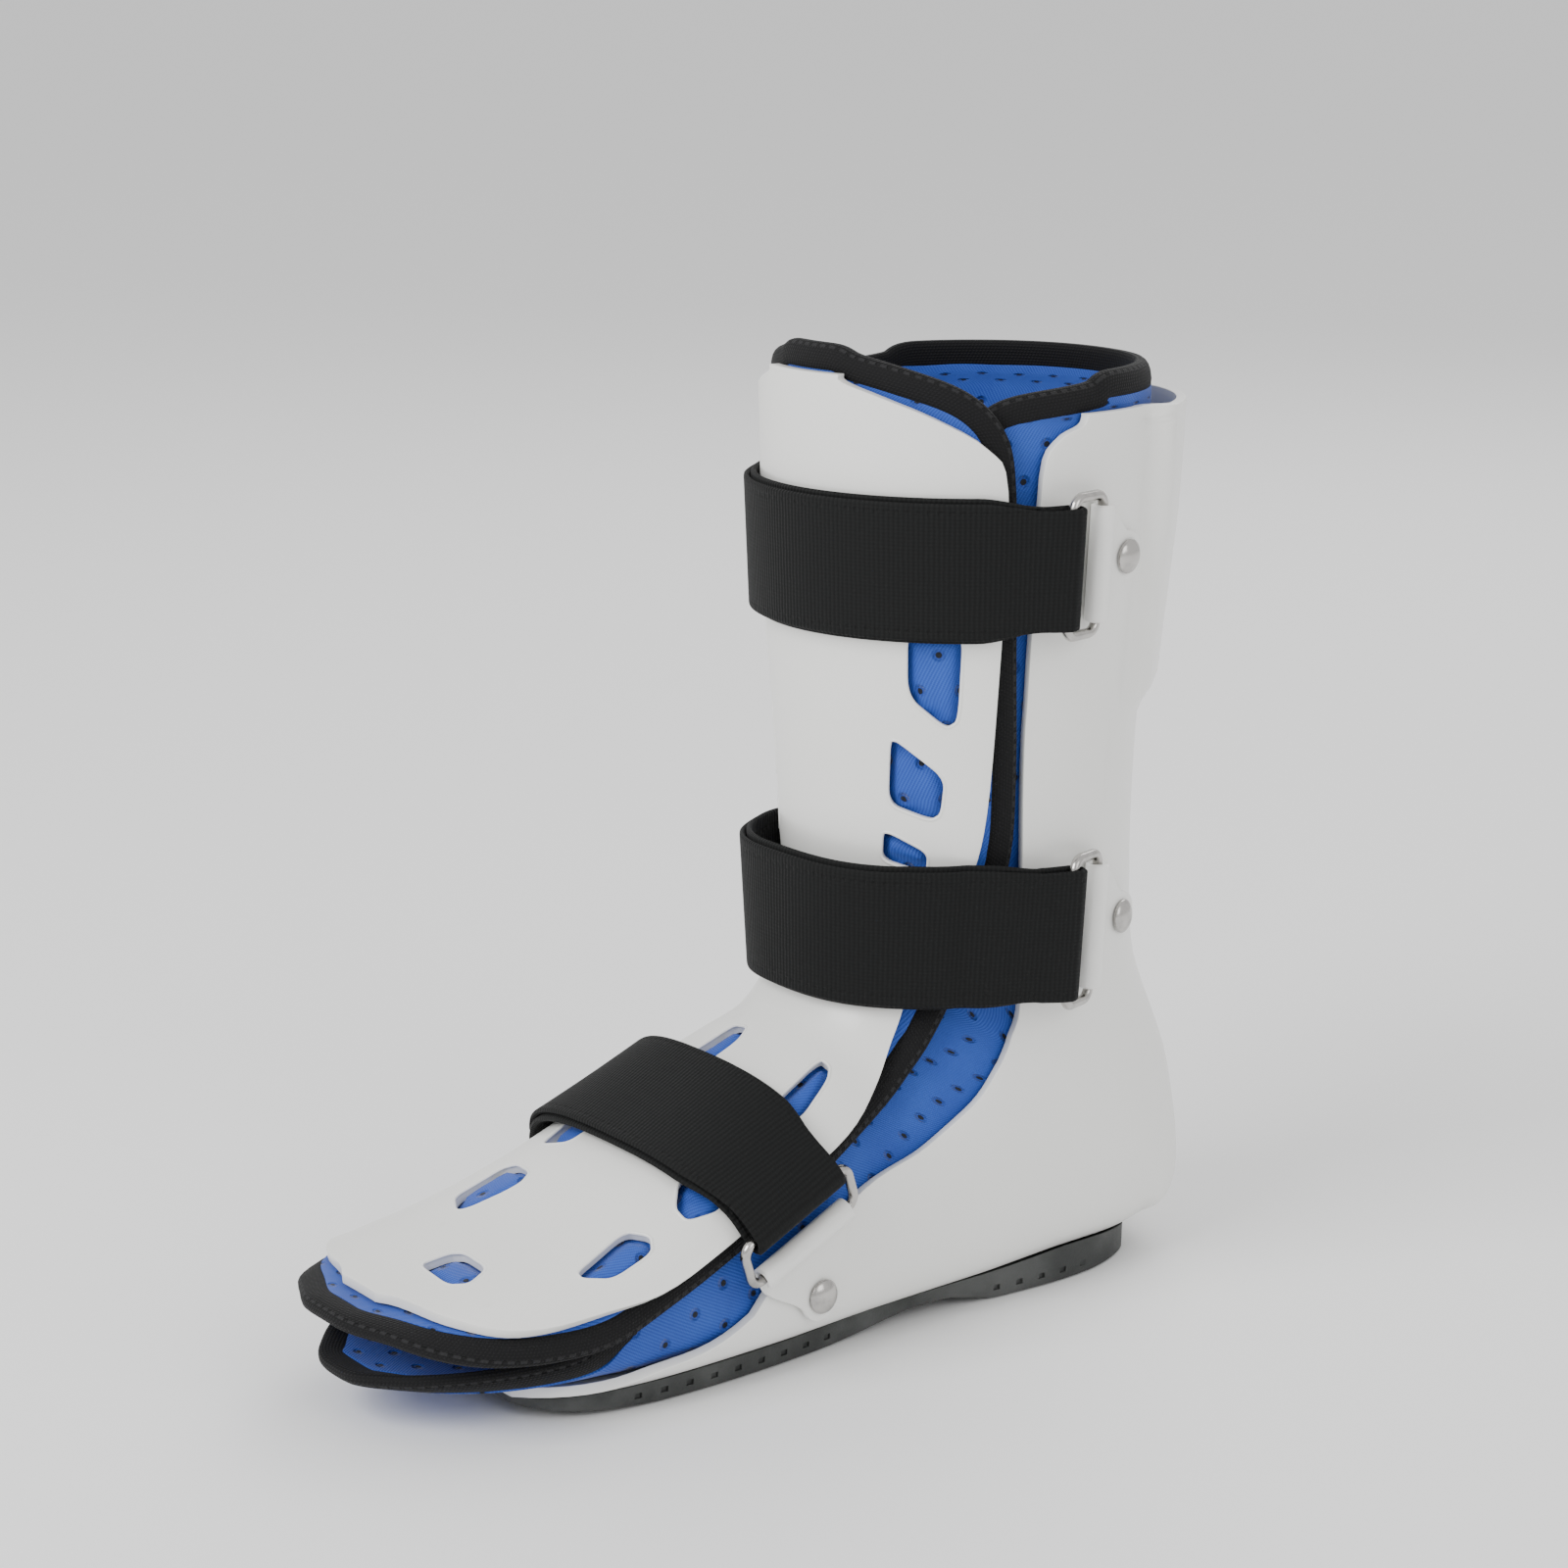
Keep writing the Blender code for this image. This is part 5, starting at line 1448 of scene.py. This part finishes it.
    def build_ring(self, finish: bpy.types.Material) -> None:
        """Bend the wire ring and dress it."""
        across = self.rear_bar - self.front_bar
        span = float(np.linalg.norm(across))
        across = across / span
        half = (self.row.ring_height - self.wire) / 2
        corner = min(self.ring_corner, span / 2 - 0.2)
        outline = []
        for side, end, start in ((1, 1, 0.0), (-1, 1, 90.0), (-1, -1, 180.0), (1, -1, 270.0)):
            for angle in np.radians(start + np.linspace(0.0, 90.0, 9)):
                u = side * (span / 2 - corner) + corner * math.cos(angle)
                outline.append((u, end * (half - corner) + corner * math.sin(angle)))
        flat = even_loop(np.array(outline), 0.8)
        centres = (self.front_bar + self.rear_bar) / 2 + flat[:, :1] * across + flat[:, 1:] * self.ring_way
        normal = np.broadcast_to(unit(np.cross(across, self.ring_way)), centres.shape)
        outward = unit(np.cross(loop_tangents(centres), normal))
        loops = swept_loops(centres, outward, normal, circle_section(self.wire / 2, 14))
        piece = swept_piece(f"{self.row.name}_wire_ring", loops, True)
        finish_piece(piece, finish, (f"{self.row.name}_ring",))

    def build_tab(self, finish: bpy.types.Material) -> None:
        """Roll the plastic tab round the ring's rear bar and dress it."""
        rivet_at = self.tab_band.length_at(self.row.rivet)
        end_at = rivet_at + self.tab_end
        path = self.turn((self.tab_at, self.tab_height), self.roll, *self.roll_angles, 26)
        flat = self.tab_gap + self.tab_thick / 2
        path += [(at, flat) for at in np.linspace(self.tab_at + 1.0, end_at - 0.05, 44)]
        path = np.array(path)
        share = np.clip((path[:, 0] - self.tab_at - 3.0) / (rivet_at - self.tab_at - 3.0), 0.0, 1.0)
        share[:27] = 0.0
        taper = smooth_step(share, 0.0, 1.15) / float(smooth_step(np.array(1.0), 0.0, 1.15))
        widths = self.row.tab_width + (2 * self.tab_end - self.row.tab_width) * taper
        past = np.clip(path[:, 0] - rivet_at, 0.0, self.tab_end)
        widths = np.where(past > 0.0, 2 * np.sqrt(np.maximum(self.tab_end**2 - past**2, 0.01)), widths)
        name = f"{self.row.name}_tab_plate"
        piece = self.ribbon(name, self.tab_band, path, self.tab_thick, widths, self.tab_edge, -math.inf)
        finish_piece(piece, finish, (f"{self.row.name}_tab",))

    def build_rivets(self, finish: bpy.types.Material) -> None:
        """Turn the two rivets, on the tab and at the strap's far end, and dress them."""
        rivet_at = self.tab_band.length_at(self.row.rivet)
        centre, normal, _ = self.tab_band.frames(np.array(rivet_at))
        top = self.tab_gap + self.tab_thick + self.rivet_gap
        outer = Rivet(f"{self.row.name}_cap_outer", centre + normal * top, normal)
        finish_piece(outer.build(), finish, (f"{self.row.name}_rivet_outer",))
        far_at = self.band.length_at(self.row.far) + self.far_rivet
        centre, normal, _ = self.band.frames(np.array(far_at))
        top = self.under + self.sink + self.thick / 2 + self.rivet_gap
        inner = Rivet(f"{self.row.name}_cap_inner", centre + normal * top, normal)
        finish_piece(inner.build(), finish, (f"{self.row.name}_rivet_inner",))

    def build(self, finishes: dict[Slot, bpy.types.Material]) -> None:
        """Build the strap and everything on it."""
        self.build_strap(finishes[Slot.BLACK_WEBBING])
        self.build_ring(finishes[Slot.BRIGHT_METAL])
        self.build_tab(finishes[Slot.WHITE_SHELL])
        self.build_rivets(finishes[Slot.BRIGHT_METAL])


@dataclass
class Rivet:
    """A low domed cap with a rolled edge."""

    name: str
    base: np.ndarray
    axis: np.ndarray
    base_radius: float = 4.7
    sides: int = 40
    profile: tuple[Pair, ...] = (
        (5.0, 0.25), (5.05, 0.7), (4.75, 1.15), (4.1, 1.6), (3.2, 2.05), (2.1, 2.4), (1.0, 2.56), (0.25, 2.6),
    )

    def build(self) -> bpy.types.Object:
        """Extrude a disc step by step up its profile and set it on its base."""
        bpy.ops.object.select_all(action="DESELECT")
        bpy.ops.mesh.primitive_circle_add(vertices=self.sides, radius=self.base_radius * MM, fill_type="NGON")
        piece = bpy.context.object
        piece.name = self.name
        piece.data.name = self.name
        bpy.ops.object.mode_set(mode="EDIT")
        bpy.ops.mesh.select_all(action="SELECT")
        radius = self.base_radius
        height = 0.0
        for wide, high in self.profile:
            rise = (0.0, 0.0, (high - height) * MM)
            bpy.ops.mesh.extrude_region_move(TRANSFORM_OT_translate={"value": rise})
            bpy.ops.transform.resize(value=(wide / radius, wide / radius, 1.0))
            radius = wide
            height = high
        bpy.ops.mesh.select_all(action="SELECT")
        bpy.ops.mesh.normals_make_consistent(inside=False)
        bpy.ops.object.mode_set(mode="OBJECT")
        turn = Vector((0.0, 0.0, 1.0)).rotation_difference(Vector(self.axis)).to_matrix().to_4x4()
        piece.data.transform(Matrix.Translation(Vector(self.base * MM)) @ turn)
        smooth(piece, 50.0)
        return piece


# Sole.
@dataclass
class Outsole:
    """Rubber sole between the shell's underside and the tread, with side notches."""

    stations: tuple[float, ...] = OUTSOLE_STATIONS
    plan: tuple[Pair, ...] = OUTSOLE_PLAN
    tread: tuple[Pair, ...] = TREAD
    level: float = OUTSOLE_LEVEL
    tread_share: float = 0.985
    notch_rows: tuple[tuple[float, float], ...] = ((-142.0, -70.0), (-8.0, 46.0))
    notch_pitch: float = 8.6
    notch_size: tuple[float, float, float] = (2.6, 2.4, 1.7)
    notch_height: float = 3.1

    def outline(self) -> tuple[np.ndarray, np.ndarray, np.ndarray]:
        """Plan line, section rows and half widths of the sole."""
        plan = smooth_line(self.plan)
        places = finer_steps(self.stations, 5)
        middle = FORM.points(places, 180.0, self.level)
        half_x = np.interp(middle[:, 1], plan[::-1, 0], plan[::-1, 1])
        return plan, places, half_x

    def build(self, finish: bpy.types.Material) -> None:
        """Model the sole, cut its notches and dress it."""
        plan, places, half_x = self.outline()
        values = FORM.rows(places)
        ratio = np.minimum(half_x / (values[:, 3] + self.level), 1.0)
        edge = np.degrees(np.arcsin(ratio ** (values[:, 7] / 2)))
        shares = np.linspace(-1.0, 1.0, 33)
        top = FORM.points(places[:, None], 180.0 + edge[:, None] * shares, self.level)
        tread = np.array(self.tread)[::-1]
        bottom = top[:, ::-1].copy()
        bottom[..., 0] *= self.tread_share
        bottom[..., 2] = np.interp(bottom[..., 1], tread[:, 0], tread[:, 1])
        walls = [0.75, 0.5, 0.25]
        left = np.stack([top[:, -1] * u + bottom[:, 0] * (1 - u) for u in walls], axis=1)
        right = np.stack([bottom[:, -1] * u + top[:, 0] * (1 - u) for u in walls], axis=1)
        piece = swept_piece("rubber_outsole", np.concatenate([top, left, bottom, right], axis=1), False)
        apply_modifier(piece, "BEVEL", width=0.0006, segments=2, limit_method="ANGLE", angle_limit=0.9)
        cutter = self.notches(plan)
        apply_modifier(piece, "BOOLEAN", operation="DIFFERENCE", object=cutter)
        bpy.data.objects.remove(cutter, do_unlink=True)
        smooth(piece, 45.0)
        finish_piece(piece, finish, ("outsole",))

    def notches(self, plan: np.ndarray) -> bpy.types.Object:
        """Make the blocks that cut the side notches, all in one mesh."""
        made = bmesh.new()
        for start, end in self.notch_rows:
            for y in np.arange(start, end, self.notch_pitch):
                half = float(np.interp(y, plan[::-1, 0], plan[::-1, 1]))
                for side in (1.0, -1.0):
                    at = Vector((side * half * MM, y * MM, self.notch_height * MM))
                    size = Matrix.Diagonal(Vector(self.notch_size + (1.0,))) * MM
                    size[3][3] = 1.0
                    bmesh.ops.create_cube(made, size=1.0, matrix=Matrix.Translation(at) @ size)
        mesh = bpy.data.meshes.new("notch_blocks")
        made.to_mesh(mesh)
        made.free()
        piece = bpy.data.objects.new("notch_blocks", mesh)
        bpy.context.scene.collection.objects.link(piece)
        return piece


# Studio.
@dataclass
class Studio:
    """Pale floor, soft lights and the camera at the photograph's angle."""

    lens: float = 85.0
    distance: float = 1.08
    azimuth: float = 51.46
    camera_height: float = 0.40
    heading: float = 2.74
    pitch: float = 13.0
    floor_size: float = 80.0
    floor_drop: float = 0.0005
    air: float = 0.95

    def build(self, finish: bpy.types.Material) -> None:
        """Set up the floor, lights, world and camera."""
        bpy.ops.object.select_all(action="DESELECT")
        bpy.ops.mesh.primitive_plane_add(size=self.floor_size, location=(0.0, 0.0, -self.floor_drop))
        floor = bpy.context.object
        floor.name = "studio_floor"
        floor.data.materials.append(finish)
        world = bpy.data.worlds.new("studio_air")
        world.use_nodes = True
        background = world.node_tree.nodes["Background"]
        background.inputs["Color"].default_value = (1.0, 1.0, 1.0, 1.0)
        background.inputs["Strength"].default_value = self.air
        bpy.context.scene.world = world
        self.light("key_softbox", (0.2, -1.9, 1.5), 1.3, 44.0)
        self.light("fill_softbox", (1.9, 0.2, 1.1), 1.2, 10.0)
        self.light("rear_softbox", (-0.9, 1.3, 1.5), 1.2, 12.0)
        self.camera()

    def light(self, name: str, place: tuple[float, float, float], size: float, power: float) -> None:
        """Add a soft square light that looks at the splint."""
        data = bpy.data.lights.new(name, "AREA")
        data.size = size
        data.energy = power
        lamp = bpy.data.objects.new(name, data)
        lamp.location = place
        look = Vector((0.0, -0.05, 0.12)) - Vector(place)
        lamp.rotation_euler = look.to_track_quat("-Z", "Y").to_euler()
        bpy.context.scene.collection.objects.link(lamp)

    def camera(self) -> None:
        """Add the camera that matches the photograph."""
        data = bpy.data.cameras.new("photo_camera")
        data.lens = self.lens
        data.sensor_width = 36.0
        camera = bpy.data.objects.new("photo_camera", data)
        turn = math.radians(self.azimuth)
        ahead, aside = math.cos(turn) * self.distance, math.sin(turn) * self.distance
        camera.location = (aside, -ahead, self.camera_height)
        level = Vector((-math.sin(turn), math.cos(turn), 0.0))
        level.rotate(Matrix.Rotation(math.radians(self.heading), 3, "Z"))
        pitch = math.radians(self.pitch)
        look = level * math.cos(pitch) - Vector((0, 0, math.sin(pitch)))
        camera.rotation_euler = look.to_track_quat("-Z", "Y").to_euler()
        bpy.context.scene.collection.objects.link(camera)
        bpy.context.scene.camera = camera


def make_finishes() -> dict[Slot, bpy.types.Material]:
    """Make one material for each slot."""
    return {
        Slot.WHITE_SHELL: MouldedPlastic().material(),
        Slot.BLUE_PADDING: PaddedFabric().material(),
        Slot.BLACK_BINDING: KnitBinding().material(),
        Slot.BLACK_WEBBING: RibbedWebbing().material(),
        Slot.DARK_RUBBER: SoleRubber().material(),
        Slot.BRIGHT_METAL: BrightNickel().material(),
    }


def build_shells(finishes: dict[Slot, bpy.types.Material]) -> None:
    """Build both shells with their liners and bindings."""
    white = finishes[Slot.WHITE_SHELL]
    blue = finishes[Slot.BLUE_PADDING]
    black = finishes[Slot.BLACK_BINDING]
    shell_spread = (0.0, 0.14, 0.28, 0.40, 0.465, 0.58, 0.7, 0.85, 1.0)
    liner_spread = (0.0, 0.14, 0.28, 0.42, 0.56, 0.7, 0.85, 1.0)
    front_spread = (0.0, 0.2, 0.4, 0.6, 0.8, 1.0)
    rear = Patch(
        Half.REAR, REAR_SHELL_STATIONS, shell_spread, REAR_SHELL_SIDE, REAR_SHELL_PLAN, REAR_SHELL_LEVEL
    )
    RearShell(rear).build(white)
    mean = sum(REAR_LINER_LEVELS) / 2
    rear_pad = Patch(Half.REAR, REAR_LINER_STATIONS, liner_spread, REAR_LINER_SIDE, REAR_LINER_PLAN, mean)
    Liner("rear_padding", "rear_liner", rear_pad, REAR_LINER_LEVELS).build(blue, [])
    Binding("rear_edge_tape", "rear_binding", rear_pad, REAR_LINER_LEVELS, 22.0, half_thick=2.3).build(black)

    front = Patch(
        Half.FRONT, FRONT_SHELL_STATIONS, front_spread, FRONT_SHELL_SIDE, FRONT_SHELL_PLAN, FRONT_SHELL_LEVEL,
        column_pieces=6,
    )
    outlines = FrontShell(front).build(white)
    mean = sum(FRONT_LINER_LEVELS) / 2
    front_pad = Patch(
        Half.FRONT, FRONT_LINER_STATIONS, front_spread, FRONT_LINER_SIDE, FRONT_LINER_PLAN, mean,
        row_pieces=8, column_pieces=8,
    )
    Liner("front_padding", "front_liner", front_pad, FRONT_LINER_LEVELS).build(blue, outlines)
    Binding("front_edge_tape", "front_binding", front_pad, FRONT_LINER_LEVELS, 60.0).build(black)


def main() -> None:
    """Build the studio and every piece."""
    logging.basicConfig(level=logging.INFO, format="%(name)s: %(message)s")
    finishes = make_finishes()
    Studio().build(StudioFloor().material())
    build_shells(finishes)
    Outsole().build(finishes[Slot.DARK_RUBBER])
    for row in STRAP_ROWS:
        StrapSet(row).build(finishes)


if __name__ == "__main__":
    main()
